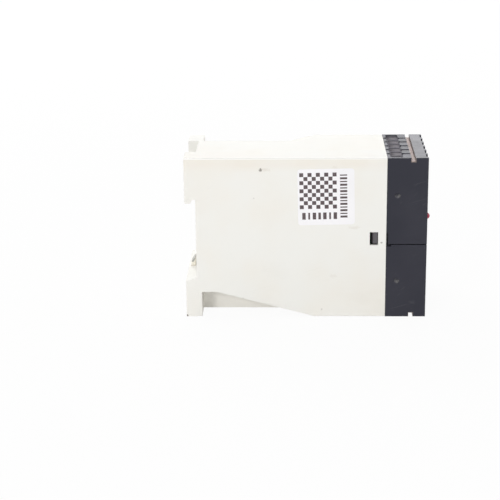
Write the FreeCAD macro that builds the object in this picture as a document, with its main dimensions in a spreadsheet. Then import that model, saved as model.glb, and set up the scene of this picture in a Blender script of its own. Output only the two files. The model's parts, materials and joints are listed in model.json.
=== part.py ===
"""Electrode level relay: a rail-mounted module with screw terminals on its black front.

X runs from the rail side (0) to the terminal front, Y across the width with 0 in the middle and the
near side at minus Y, Z up from the bottom. Every sub-part is shifted along X by its placement, so
that the origin lies under the middle of the whole object.
"""
import FreeCAD
import Part
import Sketcher
import os
from collections import namedtuple
from types import SimpleNamespace

Vector = FreeCAD.Vector

TERMINALS = 6
SPRING_FOLD_COUNT = 6
AMPLIFIER_LEGS = 4
RECTIFIER_LEGS = 2
NETWORK_LEGS = 8

DIMENSIONS = (
    ("module_width", 45.0, "overall width"),
    ("module_height", 73.2, "overall height"),
    ("housing_depth", 89.0, "depth of the cream housing"),
    ("front_depth", 18.0, "depth of the black terminal blocks"),
    ("wall", 1.8, "wall of the housing"),
    ("fit_gap", 0.2, "gap between pieces that are pushed together"),
    ("run_gap", 0.2, "gap round pieces that move"),
    ("overcut", 1.0, "how far a cut runs past the face it opens"),
    ("edge_radius", 0.5, "rounding of the long outer edges"),
    ("rail_width", 35.0, "width of the mounting rail"),
    ("rail_play", 1.2, "play of the rail in its opening"),
    ("rail_level", 36.3, "height of the middle of the rail"),
    ("seat_depth", 4.8, "rear plane to the face that the rail lies on"),
    ("section_width", 12.0, "width of each side section with hook and foot"),
    ("lip_drop", 1.7, "hook lip below the top of the rail opening"),
    ("lip_thick", 3.3, "thickness of the hook lip"),
    ("lip_bevel", 0.65, "run of the bevel inside the lip"),
    ("lip_bevel_rise", 1.5, "rise of the bevel inside the lip"),
    ("foot_slope", 1.1, "fall of the foot's top from the seat to the rear"),
    ("foot_length", 7.0, "length of the foot beside the recess"),
    ("recess_height", 11.6, "height of the side recess"),
    ("recess_flat", 7.0, "level stretch of the recess"),
    ("recess_taper", 43.8, "sloping stretch of the recess"),
    ("window_setback", 3.5, "mouth of the housing to the snap window"),
    ("window_length", 3.7, "snap window along the depth"),
    ("window_height", 6.0, "snap window upright"),
    ("window_rise", 2.5, "middle of the snap window above the seam"),
    ("guide_height", 3.0, "height of the board guides"),
    ("guide_thick", 1.05, "thickness of a board guide"),
    ("guide_length", 62.0, "length of the board guides"),
    ("latch_width", 5.6, "width of the rail latch"),
    ("latch_cover", 1.0, "wall behind the latch"),
    ("latch_rise", 3.4, "tip of the latch above the rail opening's lower edge"),
    ("latch_slope", 2.2, "height of the slanted lead-in"),
    ("latch_tip", 0.4, "thickness of the latch at its tip"),
    ("latch_lift", 0.4, "underside of the latch above the base"),
    ("latch_shoulder", 0.5, "shoulder of the latch below the foot's top"),
    ("latch_opening", 5.0, "height of the opening behind the pull slot"),
    ("pull_slot_level", 1.8, "underside of the pull slot"),
    ("pull_slot_height", 1.8, "height of the pull slot"),
    ("latch_window", 3.0, "width of the openings in the latch"),
    ("peg_level", 6.0, "underside of the spring peg"),
    ("peg_thick", 1.2, "thickness of the spring peg"),
    ("peg_stop", 0.3, "free play of the latch under the peg"),
    ("peg_inset", 0.6, "end of the peg from the wall behind the latch"),
    ("spring_length", 6.8, "length of the latch spring"),
    ("spring_strip", 0.4, "strip of the latch spring"),
    ("spring_inset", 0.6, "latch spring inside the faces of the latch"),
    ("upper_block_height", 39.2, "seam to the top"),
    ("seam_gap", 0.4, "gap of the seam"),
    ("front_wall", 2.0, "front wall of the blocks"),
    ("block_side", 2.2, "side walls of the blocks"),
    ("block_floor", 1.6, "wall of each block along the seam"),
    ("spigot_depth", 2.3, "part of a block that plugs into the housing"),
    ("terminal_zone", 15.2, "solid zone that holds the terminals"),
    ("terminal_margin", 0.3, "side of a block to the field of its outer terminal"),
    ("entry_setback", 2.2, "rear of a block to the wire entries"),
    ("entry_length", 4.4, "wire entry along the depth"),
    ("entry_width", 5.4, "wire entry across"),
    ("screw_level", 6.8, "screw axis from the terminal edge"),
    ("trough_width", 4.7, "trough from a screw bore to the edge"),
    ("trough_depth", 0.9, "depth of that trough"),
    ("chamber_setback", 1.2, "rear of a block to the clamp chambers"),
    ("clamp_height", 6.4, "height of a clamping yoke"),
    ("clamp_side", 0.8, "side wall of a clamping yoke"),
    ("clamp_lip", 0.25, "front lip of a clamping yoke inside its side wall"),
    ("clamp_rear", 1.0, "rear wall of a clamping yoke"),
    ("clamp_front", 1.4, "thickness of the front lips of a clamping yoke"),
    ("clamp_travel", 2.4, "travel of a clamping yoke"),
    ("wire_space", 4.4, "open space for the wire"),
    ("screw_room", 1.6, "contact bar to the front lips"),
    ("bar_thick", 1.0, "thickness of a contact bar"),
    ("tail_level", 12.2, "tail of a contact bar from the terminal edge"),
    ("pin_width", 1.0, "solder pin of a contact bar"),
    ("pin_reach", 1.1, "solder pin behind the front board"),
    ("pin_gap", 0.1, "gap round a solder pin"),
    ("screw_diameter", 3.0, "thread of a terminal screw"),
    ("thread_gap", 0.05, "gap of the thread"),
    ("tip_gap", 0.1, "gap at the tip and under the head of a screw"),
    ("head_diameter", 4.4, "head of a terminal screw"),
    ("head_height", 2.0, "height of that head"),
    ("head_gap", 0.2, "gap round that head"),
    ("drive_width", 0.8, "slot of a terminal screw"),
    ("drive_depth", 0.9, "depth of that slot"),
    ("plate_height", 0.9, "terminal plates above the floor between them"),
    ("plate_gap", 1.6, "gap between the plates of two terminals"),
    ("plate_bevel", 0.7, "bevelled corners of a plate at the wire entries"),
    ("field_setback", 1.4, "rear of a block to the sunk field of its wire entries"),
    ("field_length", 5.5, "that field along the depth"),
    ("field_side", 1.6, "side of a block to that field"),
    ("groove_setback", 10.5, "rear of a block to its marker groove"),
    ("groove_width", 1.85, "marker groove along the depth"),
    ("groove_depth", 1.8, "depth of the marker groove"),
    ("groove_flare", 0.25, "widening of the groove at its mouth"),
    ("strip_thick", 0.4, "thickness of the marker strip"),
    ("dimple_setback", 4.6, "rear of a block to its dimple"),
    ("dimple_level", 17.0, "dimple from the terminal edge"),
    ("dimple_diameter", 2.5, "diameter of a dimple"),
    ("dimple_depth", 0.9, "depth of the conical dimple"),
    ("arm_thick", 1.6, "thickness of a snap arm"),
    ("arm_root", 3.0, "root of a snap arm on its block"),
    ("nose_rear_gap", 0.9, "snap nose to the rear of its window"),
    ("nose_side_gap", 0.3, "snap nose to the other edges of its window"),
    ("nose_sink", 0.4, "snap nose below the outer face"),
    ("nose_ramp", 0.6, "run of the lead-in at the rear of a snap nose"),
    ("arm_slot", 0.8, "slot outside the root of a snap arm"),
    ("tongue_setback", 6.0, "rear of a block to the seam tongue"),
    ("tongue_thick", 2.0, "thickness of the seam tongue"),
    ("tongue_height", 1.0, "height of the seam tongue"),
    ("tongue_width", 32.0, "width of the seam tongue"),
    ("pry_length", 2.2, "pry notch along the depth"),
    ("pry_height", 0.7, "pry notch upright"),
    ("pry_depth", 2.0, "pry notch across"),
    ("knob_rise", 15.5, "adjuster above the seam"),
    ("knob_diameter", 8.6, "face of the adjuster"),
    ("collar_lip", 0.6, "collar behind the front wall beyond the adjuster's face"),
    ("collar_thick", 1.4, "thickness of that collar"),
    ("knob_stem", 4.0, "stem of the adjuster"),
    ("stem_engagement", 3.0, "stem inside the potentiometer"),
    ("knob_sink", 0.3, "adjuster below the front face"),
    ("knob_slot", 1.2, "screwdriver slot of the adjuster"),
    ("knob_slot_depth", 1.3, "depth of that slot"),
    ("knob_slot_reach", 3.0, "short end of that slot from the axis"),
    ("knob_bevel", 0.35, "bevel round the adjuster's face"),
    ("pot_size", 9.5, "potentiometer across"),
    ("pot_depth", 6.4, "potentiometer along the depth"),
    ("lamp_rise", 6.5, "indicator lamp above the seam"),
    ("lamp_diameter", 3.0, "diameter of the lamp"),
    ("lamp_reach", 3.0, "lamp in front of the blocks"),
    ("lamp_collar_lip", 0.45, "collar of the lamp beyond its barrel"),
    ("lamp_collar_thick", 1.0, "thickness of that collar"),
    ("lamp_bevel", 0.8, "bevel round the lamp's crown"),
    ("lead_pitch", 2.54, "spacing of the lamp leads"),
    ("lead_size", 0.5, "thickness of a lamp lead"),
    ("board_thick", 1.6, "circuit boards"),
    ("board_gap", 0.15, "play of the main board in its guides"),
    ("board_inset", 1.4, "main board from the rear wall"),
    ("front_board_edge", 0.3, "front board to the housing walls"),
    ("transformer_place", 30.0, "transformer from the rear plane"),
    ("transformer_level", 44.0, "height of the transformer"),
    ("core_length", 30.0, "laminated core along the depth"),
    ("core_height", 25.0, "laminated core upright"),
    ("core_limb", 10.0, "middle limb of the core"),
    ("core_window", 5.0, "winding window across"),
    ("core_window_height", 15.0, "winding window upright"),
    ("coil_build", 4.2, "build of the transformer coil"),
    ("coil_gap", 0.15, "gap between coil and core"),
    ("transformer_clearance", 0.5, "transformer coil to the near wall"),
    ("bobbin_base", 1.0, "foot plate of the bobbin"),
    ("bobbin_margin", 3.0, "foot plate beyond the coil"),
    ("relay_place", 46.0, "output relay from the rear plane"),
    ("relay_level", 22.0, "underside of the output relay"),
    ("relay_length", 29.0, "output relay along the depth"),
    ("relay_width", 13.0, "output relay upright"),
    ("relay_clearance", 1.3, "output relay to the far wall"),
    ("relay_base_thick", 2.4, "base of the output relay"),
    ("relay_shell", 0.8, "cover of the output relay"),
    ("yoke_setback", 4.0, "end of the relay to its yoke"),
    ("yoke_thick", 1.2, "yoke plate"),
    ("yoke_width", 8.0, "width of yoke and armature"),
    ("relay_coil_length", 13.4, "relay coil"),
    ("relay_coil_width", 9.0, "relay coil across"),
    ("relay_coil_level", 9.5, "relay coil axis above the board"),
    ("flange_thick", 0.8, "bobbin flange of the relay"),
    ("relay_core", 4.0, "iron core of the relay"),
    ("pole_diameter", 6.0, "pole face of the relay"),
    ("pole_thick", 1.0, "thickness of the pole face"),
    ("armature_gap", 0.8, "air gap of the armature"),
    ("armature_thick", 1.0, "armature plate"),
    ("armature_drop", 4.0, "armature below the coil axis"),
    ("leaf_thick", 0.3, "contact spring"),
    ("leaf_width", 3.0, "width of the contact spring"),
    ("leaf_level", 3.4, "end of the contact spring above the board"),
    ("leaf_length", 8.6, "length of the contact spring"),
    ("contact_level", 4.3, "contacts above the board"),
    ("contact_size", 1.5, "contact tip across"),
    ("contact_height", 0.8, "height of a moving contact"),
    ("contact_rest_gap", 0.06, "gap at the resting contact"),
    ("contact_open_gap", 0.95, "gap at the open contact"),
    ("post_thick", 0.6, "fixed contact post"),
    ("post_tip", 0.6, "contact tip on a fixed contact post"),
    ("capacitor_gap", 6.0, "transformer core to the smoothing capacitor"),
    ("smoothing_level", 52.0, "height of the smoothing capacitor"),
    ("smoothing_diameter", 10.0, "smoothing capacitor"),
    ("smoothing_length", 16.0, "length of the smoothing capacitor"),
    ("timing_level", 36.0, "height of the timing capacitor"),
    ("timing_diameter", 6.3, "timing capacitor"),
    ("timing_length", 11.0, "length of the timing capacitor"),
    ("amplifier_place", 64.0, "amplifier chip from the rear plane"),
    ("amplifier_level", 22.0, "underside of the amplifier chip"),
    ("amplifier_length", 9.6, "length of the amplifier chip"),
    ("rectifier_place", 14.0, "bridge rectifier from the rear plane"),
    ("rectifier_level", 22.0, "underside of the bridge rectifier"),
    ("rectifier_length", 8.4, "length of the bridge rectifier"),
    ("chip_width", 6.4, "width of a chip"),
    ("chip_height", 3.3, "height of a chip"),
    ("leg_pitch", 2.54, "spacing of legs"),
    ("rectifier_pitch", 5.08, "spacing of the rectifier's legs"),
    ("leg_size", 0.5, "leg of a chip or a network"),
    ("standoff", 0.5, "chips and networks above the board"),
    ("network_gap", 5.0, "smoothing capacitor to the resistor network"),
    ("network_drop", 10.9, "upper end of the resistor network below the top"),
    ("network_length", 20.3, "length of the resistor network"),
    ("network_thick", 2.2, "thickness of the resistor network"),
    ("network_height", 5.0, "height of the resistor network"),
)


class Size:
    """A length with its value and the sheet formula that drives it."""

    def __init__(self, value, formula):
        self.value = float(value)
        self.formula = formula

    def __add__(self, other):
        other = as_size(other)
        return Size(self.value + other.value, f"({self.formula} + {other.formula})")

    def __sub__(self, other):
        other = as_size(other)
        return Size(self.value - other.value, f"({self.formula} - {other.formula})")

    def __mul__(self, other):
        other = as_size(other)
        return Size(self.value * other.value, f"({self.formula} * {other.formula})")

    def __truediv__(self, other):
        other = as_size(other)
        return Size(self.value / other.value, f"({self.formula} / {other.formula})")

    def __neg__(self):
        return Size(-self.value, f"(0 - {self.formula})")


def as_size(length):
    """Return a plain number as a Size, and a Size as it is."""
    return length if isinstance(length, Size) else Size(length, f"({length})")


Circle = namedtuple("Circle", "across up diameter")

doc = FreeCAD.newDocument("level_relay")
sheet = doc.addObject("Spreadsheet::Sheet", "Dims")
for row, (alias, value, note) in enumerate(DIMENSIONS, start=1):
    sheet.set(f"A{row}", note)
    sheet.set(f"B{row}", str(value))
    sheet.setAlias(f"B{row}", alias)
doc.recompute()
sizes = {alias: Size(getattr(sheet, alias), f"Dims.{alias}") for alias, _, _ in DIMENSIONS}
D = SimpleNamespace(**sizes)
sub_parts = []

# Places that several pieces share
ZERO = as_size(0)
HALF_WIDTH = D.module_width / 2
FRONT_FACE = D.housing_depth + D.front_depth
ORIGIN_X = (FRONT_FACE + D.lamp_reach) / 2
INNER_HALF = HALF_WIDTH - D.wall
INNER_REAR = D.seat_depth + D.wall
CHANNEL_HALF = HALF_WIDTH - D.section_width
RAIL_LOW = D.rail_level - (D.rail_width + D.rail_play) / 2
RAIL_HIGH = D.rail_level + (D.rail_width + D.rail_play) / 2
FOOT_TOP = RAIL_LOW - D.foot_slope
SEAM = D.module_height - D.upper_block_height
KNOB_LEVEL = SEAM + D.knob_rise
LAMP_LEVEL = SEAM + D.lamp_rise
WINDOW_LEVEL = SEAM + D.window_rise
BOARD_HALF = D.board_thick / 2
SPIGOT_REAR = D.housing_depth - D.spigot_depth
FRONT_BOARD_REAR = SPIGOT_REAR - D.board_thick
WINDOW_FRONT = D.housing_depth - D.window_setback
WINDOW_REAR = WINDOW_FRONT - D.window_length
WINDOW_LOW = WINDOW_LEVEL - D.window_height / 2
WINDOW_HIGH = WINDOW_LEVEL + D.window_height / 2
PEG_TOP = D.peg_level + D.peg_thick
LATCH_REAR = D.latch_cover + D.run_gap
LATCH_FRONT = D.seat_depth - D.run_gap
LIP_EDGE = D.screw_diameter / 2 + D.thread_gap
CLAMP_INNER_HALF = LIP_EDGE + D.clamp_lip
CLAMP_HALF = CLAMP_INNER_HALF + D.clamp_side
BAR_HALF = CLAMP_INNER_HALF - D.fit_gap
CLAMP_REAR = D.housing_depth + D.chamber_setback + D.run_gap
BAR_REAR = CLAMP_REAR + D.clamp_rear + D.wire_space
BAR_FRONT = BAR_REAR + D.bar_thick
CLAMP_INNER_FRONT = BAR_FRONT + D.screw_room
CLAMP_FRONT = CLAMP_INNER_FRONT + D.clamp_front
CHAMBER_FRONT = CLAMP_FRONT + D.clamp_travel + D.run_gap
HEAD_REAR = CHAMBER_FRONT + D.tip_gap
TERMINAL_PITCH = (D.module_width - D.terminal_margin * 2) / TERMINALS
TERMINAL_SPAN = TERMINAL_PITCH * (TERMINALS - 1)
FIRST_TERMINAL = -(TERMINAL_SPAN / 2)


def upper_edge(distance):
    """Height of a point that lies a distance below the top edge."""
    return D.module_height - distance


def lower_edge(distance):
    """Height of a point that lies a distance above the bottom edge."""
    return as_size(distance)


def new_body(label, across=ZERO, up=ZERO):
    """Start a sub-part whose own axis lies at the given place across and up."""
    body = doc.addObject("PartDesign::Body", label)
    body.Label = label
    body.setExpression("Placement.Base.x", (-ORIGIN_X).formula)
    body.setExpression("Placement.Base.y", across.formula)
    body.setExpression("Placement.Base.z", up.formula)
    sub_parts.append(body)
    return body


def origin_feature(body, role):
    """Return an origin plane or axis of a body."""
    return next(feature for feature in body.Origin.OriginFeatures if feature.Role == role)


def drive(sketch, kind, geometry, point, size):
    """Hold one coordinate of a sketch point at a driven distance from the sketch origin."""
    constraint = Sketcher.Constraint(kind, -1, 1, geometry, point, size.value)
    index = sketch.addConstraint(constraint)
    sketch.setExpression(f"Constraints[{index}]", size.formula)


def draw_circle(sketch, circle):
    """Draw a driven circle."""
    across, up, diameter = (as_size(value) for value in circle)
    centre = Vector(across.value, up.value, 0)
    index = sketch.addGeometry(Part.Circle(centre, Vector(0, 0, 1), diameter.value / 2), False)
    drive(sketch, "DistanceX", index, 3, across)
    drive(sketch, "DistanceY", index, 3, up)
    rule = sketch.addConstraint(Sketcher.Constraint("Diameter", index, diameter.value))
    sketch.setExpression(f"Constraints[{rule}]", diameter.formula)


def draw_polygon(sketch, points):
    """Draw a closed polygon with each corner driven."""
    points = [(as_size(across), as_size(up)) for across, up in points]
    corners = [Vector(across.value, up.value, 0) for across, up in points]
    first = sketch.GeometryCount
    count = len(corners)
    for index in range(count):
        sketch.addGeometry(Part.LineSegment(corners[index], corners[(index + 1) % count]), False)
    for index in range(count):
        following = first + (index + 1) % count
        sketch.addConstraint(Sketcher.Constraint("Coincident", first + index, 2, following, 1))
    for index, (across, up) in enumerate(points, start=first):
        drive(sketch, "DistanceX", index, 1, across)
        drive(sketch, "DistanceY", index, 1, up)


def draw(body, plane, offset, loops):
    """Make a sketch on an origin plane of a body, moved along the plane's normal."""
    sketch = body.newObject("Sketcher::SketchObject", f"{body.Label}_sketch")
    sketch.AttachmentSupport = [(origin_feature(body, f"{plane}_Plane"), "")]
    sketch.MapMode = "FlatFace"
    sketch.setExpression("AttachmentOffset.Base.z", offset.formula)
    for loop in loops:
        if isinstance(loop, Circle):
            draw_circle(sketch, loop)
        else:
            draw_polygon(sketch, loop)
    return sketch


def extrude(body, kind, plane, loops, low, high):
    """Pad or pocket loops between two places along the plane's axis."""
    low = as_size(low)
    high = as_size(high)
    offset = -high if plane == "XZ" else low
    feature = body.newObject(f"PartDesign::{kind}", f"{body.Label}_{kind.lower()}")
    sketch = draw(body, plane, offset, loops)
    feature.Profile = sketch
    feature.Reversed = kind == "Pocket"
    feature.setExpression("Length", (high - low).formula)
    sketch.Visibility = False
    return feature


def pad(body, plane, loops, low, high):
    """Add material."""
    return extrude(body, "Pad", plane, loops, low, high)


def pocket(body, plane, loops, low, high):
    """Cut material."""
    return extrude(body, "Pocket", plane, loops, low, high)


def revolve(body, points):
    """Turn a half profile (along, radius) about the X axis of the body."""
    feature = body.newObject("PartDesign::Revolution", f"{body.Label}_turned")
    sketch = draw(body, "XZ", ZERO, [points])
    feature.Profile = sketch
    feature.ReferenceAxis = (sketch, ["H_Axis"])
    feature.Angle = 360
    return feature


def repeat(body, originals, role, span, count):
    """Repeat features in a row along an origin axis of the body."""
    feature = body.newObject("PartDesign::LinearPattern", f"{body.Label}_row")
    feature.Originals = originals
    feature.Direction = (origin_feature(body, role), [""])
    feature.setExpression("Length", span.formula)
    feature.Occurrences = count
    body.Tip = feature
    return feature


def round_edges(body, radius, wanted):
    """Round the edges of a body that pass a test."""
    doc.recompute()
    base = body.Tip
    names = [f"Edge{index}" for index, edge in enumerate(base.Shape.Edges, start=1) if wanted(edge)]
    feature = body.newObject("PartDesign::Fillet", f"{body.Label}_rounding")
    feature.Base = (base, names)
    feature.setExpression("Radius", radius.formula)
    return feature


def rectangle(left, right, low, high):
    """Corners of an upright rectangle."""
    return [(left, low), (right, low), (right, high), (left, high)]


def both_sides(left, right, low, high):
    """A rectangle and its mirror image across the middle of the width."""
    return [rectangle(left, right, low, high), rectangle(-right, -left, low, high)]


def housing():
    """Cream case: tub open to the front, hooks and feet at the rear, recesses at two corners."""
    body = new_body("housing")
    top = D.module_height
    lip_low = RAIL_HIGH - D.lip_drop
    hook = [
        (ZERO, lip_low),
        (D.lip_thick - D.lip_bevel, lip_low),
        (D.lip_thick, lip_low + D.lip_bevel_rise),
        (D.lip_thick, RAIL_HIGH),
        (D.seat_depth, RAIL_HIGH),
        (D.seat_depth, top),
        (ZERO, top),
    ]
    foot = [(ZERO, ZERO), (D.seat_depth, ZERO), (D.seat_depth, RAIL_LOW), (ZERO, FOOT_TOP)]
    pad(body, "XZ", [rectangle(D.seat_depth, D.housing_depth, ZERO, top)], -HALF_WIDTH, HALF_WIDTH)
    round_edges(body, D.edge_radius, lies_along_depth)
    cavity = rectangle(-INNER_HALF, INNER_HALF, D.wall, top - D.wall)
    pocket(body, "YZ", [cavity], INNER_REAR, D.housing_depth + D.overcut)
    pad(body, "XZ", [hook, foot], -HALF_WIDTH, HALF_WIDTH)
    channel = rectangle(-CHANNEL_HALF, CHANNEL_HALF, lip_low - D.overcut, top + D.overcut)
    pocket(body, "YZ", [channel], -D.overcut, D.seat_depth)
    corner_recess(body, lower_edge, -HALF_WIDTH, -CHANNEL_HALF, -CHANNEL_HALF + D.wall, -1)
    corner_recess(body, upper_edge, HALF_WIDTH, CHANNEL_HALF, CHANNEL_HALF - D.wall, 1)
    window = rectangle(WINDOW_REAR, WINDOW_FRONT, WINDOW_LOW, WINDOW_HIGH)
    pocket(body, "XZ", [window], -(HALF_WIDTH + D.overcut), HALF_WIDTH + D.overcut)
    guide_inner = BOARD_HALF + D.board_gap
    guide_outer = guide_inner + D.guide_thick
    floor_guides = both_sides(guide_inner, guide_outer, D.wall / 2, D.wall + D.guide_height)
    ceiling = top - D.wall
    roof_guides = both_sides(guide_inner, guide_outer, ceiling - D.guide_height, top - D.wall / 2)
    pad(body, "YZ", floor_guides + roof_guides, D.seat_depth + D.wall / 2, INNER_REAR + D.guide_length)
    latch_guide(body)
    return body


def lies_along_depth(edge):
    """True for the long straight edges that run from the rail side to the front."""
    box = edge.BoundBox
    return box.XLength > box.YLength + box.ZLength


def corner_recess(body, level, outer, inner, skin, side):
    """Tapering recess in one corner of the housing, with its own wall towards the inside."""
    rear = D.foot_length
    knee = rear + D.recess_flat
    end = knee + D.recess_taper
    skin_end = end + D.recess_taper * D.wall / D.recess_height
    hood = [
        (D.seat_depth, level(D.wall / 2)),
        (D.seat_depth, level(D.recess_height + D.wall)),
        (knee, level(D.recess_height + D.wall)),
        (skin_end, level(D.wall / 2)),
    ]
    opening = [
        (rear, level(-D.overcut)),
        (rear, level(D.recess_height)),
        (knee, level(D.recess_height)),
        (end, level(ZERO)),
        (end, level(-D.overcut)),
    ]
    skin_side = outer - D.wall / 2 if side > 0 else outer + D.wall / 2
    low, high = (skin, skin_side) if side > 0 else (skin_side, skin)
    pad(body, "XZ", [hood], low, high)
    past = outer + D.overcut if side > 0 else outer - D.overcut
    low, high = (inner, past) if side > 0 else (past, inner)
    pocket(body, "XZ", [opening], low, high)


def latch_guide(body):
    """Slot of the rail latch between the feet, with the peg that carries its spring."""
    slot_half = D.latch_width / 2 + D.run_gap
    slot = rectangle(D.latch_cover, D.seat_depth, -slot_half, slot_half)
    pocket(body, "XY", [slot], -D.overcut, RAIL_LOW + D.overcut)
    opening = rectangle(-slot_half, slot_half, -D.overcut, D.latch_opening)
    pocket(body, "YZ", [opening], -D.overcut, D.latch_cover)
    peg_half = D.latch_window / 2 - D.run_gap
    peg = rectangle(-peg_half, peg_half, D.peg_level, PEG_TOP)
    pad(body, "YZ", [peg], D.latch_cover + D.peg_inset, D.seat_depth + D.wall / 2)


def din_latch():
    """Sliding rail latch with a slanted nose, a spring window and a pull slot."""
    body = new_body("din_latch")
    half = D.latch_width / 2
    nose_front = D.lip_thick - D.run_gap
    shoulder = FOOT_TOP - D.latch_shoulder
    tip = RAIL_LOW + D.latch_rise
    profile = [
        (LATCH_REAR, D.latch_lift),
        (LATCH_FRONT, D.latch_lift),
        (LATCH_FRONT, shoulder),
        (nose_front, shoulder),
        (nose_front, tip),
        (nose_front - D.latch_tip, tip),
        (LATCH_REAR, tip - D.latch_slope),
    ]
    pad(body, "XZ", [profile], -half, half)
    window_half = D.latch_window / 2
    window = rectangle(-window_half, window_half, D.peg_level - D.peg_stop, PEG_TOP + D.spring_length)
    pull_low = D.pull_slot_level
    pull = rectangle(-window_half, window_half, pull_low, pull_low + D.pull_slot_height)
    pocket(body, "YZ", [window, pull], ZERO, D.seat_depth)
    return body


def latch_spring():
    """Flat meander spring between the peg of the housing and the top of the latch's window."""
    body = new_body("latch_spring")
    half = D.latch_window / 2 - D.run_gap
    top = PEG_TOP + D.spring_length
    gap = (D.spring_length - D.spring_strip * (SPRING_FOLD_COUNT + 1)) / SPRING_FOLD_COUNT
    outline = rectangle(-half, half, PEG_TOP, top)
    pad(body, "YZ", [outline], LATCH_REAR + D.spring_inset, LATCH_FRONT - D.spring_inset)
    gaps = []
    for step in range(SPRING_FOLD_COUNT):
        low = PEG_TOP + D.spring_strip + (gap + D.spring_strip) * step
        if step % 2:
            gaps.append(rectangle(-half - D.overcut, half - D.spring_strip, low, low + gap))
        else:
            gaps.append(rectangle(-half + D.spring_strip, half + D.overcut, low, low + gap))
    pocket(body, "YZ", gaps, ZERO, D.seat_depth)
    return body


def terminal_block(label, level, seam, into_seam):
    """Black front moulding with its row of terminals along the edge that level measures from."""
    body = new_body(label)
    rear = D.housing_depth
    pad(body, "XZ", [rectangle(rear, FRONT_FACE, seam, level(ZERO))], -HALF_WIDTH, HALF_WIDTH)
    spigot_half = INNER_HALF - D.fit_gap
    spigot = rectangle(-spigot_half, spigot_half, level(D.terminal_zone), level(D.wall + D.fit_gap))
    pad(body, "YZ", [spigot], SPIGOT_REAR, rear + D.overcut)
    hollow_half = HALF_WIDTH - D.block_side
    hollow = rectangle(-hollow_half, hollow_half, into_seam(D.block_floor), level(D.terminal_zone))
    pocket(body, "YZ", [hollow], rear - D.overcut, FRONT_FACE - D.front_wall)
    terminal_row(body, level)
    terminal_plates(body, level)
    groove_rear = rear + D.groove_setback
    groove_front = groove_rear + D.groove_width
    groove = [
        (groove_rear, level(D.groove_depth)),
        (groove_front, level(D.groove_depth)),
        (groove_front, level(D.groove_flare)),
        (groove_front + D.groove_flare, level(-D.overcut)),
        (groove_rear - D.groove_flare, level(-D.overcut)),
        (groove_rear, level(D.groove_flare)),
    ]
    pocket(body, "XZ", [groove], -(HALF_WIDTH + D.overcut), HALF_WIDTH + D.overcut)
    dimple(body, rear + D.dimple_setback, level(D.dimple_level))
    return body


def dimple(body, place, level):
    """Conical dimple in each side face of a block."""
    tip = HALF_WIDTH - D.dimple_depth
    past = HALF_WIDTH + D.overcut
    rim = D.dimple_diameter / 2 * (D.dimple_depth + D.overcut) / D.dimple_depth
    for side in (1, -1):
        half_profile = [(tip * side, level), (past * side, level), (past * side, level + rim)]
        feature = body.newObject("PartDesign::Groove", f"{body.Label}_dimple")
        sketch = draw(body, "YZ", place, [half_profile])
        feature.Profile = sketch
        feature.ReferenceAxis = (sketch, ["Edge1"])
        feature.Angle = 360


def terminal_row(body, level):
    """Wire entries, clamp chambers, bar slots, screw bores and troughs along one edge."""
    rear = D.housing_depth
    axis = level(D.screw_level)
    middle = FIRST_TERMINAL
    past_edge = level(-D.overcut)
    past_front = FRONT_FACE + D.overcut
    half_height = D.clamp_height / 2 + D.run_gap
    half_width = CLAMP_HALF + D.run_gap
    chamber_inner = level(D.screw_level + half_height)
    chamber_outer = level(D.screw_level - half_height)
    chamber = rectangle(rear + D.chamber_setback, CHAMBER_FRONT, chamber_inner, chamber_outer)
    entry_rear = rear + D.entry_setback
    entry_half = D.entry_width / 2
    entry = rectangle(entry_rear, entry_rear + D.entry_length, axis, past_edge)
    tail_inner = D.tail_level + D.bar_thick + D.fit_gap
    bar_slot = rectangle(SPIGOT_REAR - D.overcut, BAR_FRONT + D.fit_gap, level(tail_inner), axis)
    bar_half = BAR_HALF + D.fit_gap
    trough_half = D.trough_width / 2
    trough = rectangle(middle - trough_half, middle + trough_half, axis, past_edge)
    bore = Circle(middle, axis, D.head_diameter + D.head_gap * 2)
    cuts = [
        pocket(body, "XZ", [entry], middle - entry_half, middle + entry_half),
        pocket(body, "XZ", [chamber], middle - half_width, middle + half_width),
        pocket(body, "XZ", [bar_slot], middle - bar_half, middle + bar_half),
        pocket(body, "YZ", [bore], CHAMBER_FRONT - D.run_gap, past_front),
        pocket(body, "YZ", [trough], FRONT_FACE - D.trough_depth, past_front),
    ]
    repeat(body, cuts, "Y_Axis", TERMINAL_SPAN, TERMINALS)


def terminal_plates(body, level):
    """Raised plates round the wire entries: a sunk field across the block and gaps between terminals."""
    rear = D.housing_depth
    low, high = in_order(level(D.plate_height), level(-D.overcut))
    field_rear = rear + D.field_setback
    field_front = field_rear + D.field_length
    field_half = HALF_WIDTH - D.field_side
    pocket(body, "XY", [rectangle(field_rear, field_front, -field_half, field_half)], low, high)
    middle = FIRST_TERMINAL + TERMINAL_PITCH / 2
    half = D.plate_gap / 2
    wide = half + D.plate_bevel
    gap_front = rear + D.groove_setback + D.overcut
    near_edge = [
        (rear - D.overcut, middle - half),
        (field_rear - D.plate_bevel, middle - half),
        (field_rear, middle - wide),
        (field_front, middle - wide),
        (field_front + D.plate_bevel, middle - half),
        (gap_front, middle - half),
    ]
    far_edge = [(along, middle * 2 - across) for along, across in reversed(near_edge)]
    first_gap = pocket(body, "XY", [near_edge + far_edge], low, high)
    repeat(body, [first_gap], "Y_Axis", TERMINAL_SPAN - TERMINAL_PITCH, TERMINALS - 1)


def in_order(first, second):
    """Two heights, the lower one first."""
    return (first, second) if first.value < second.value else (second, first)


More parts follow.
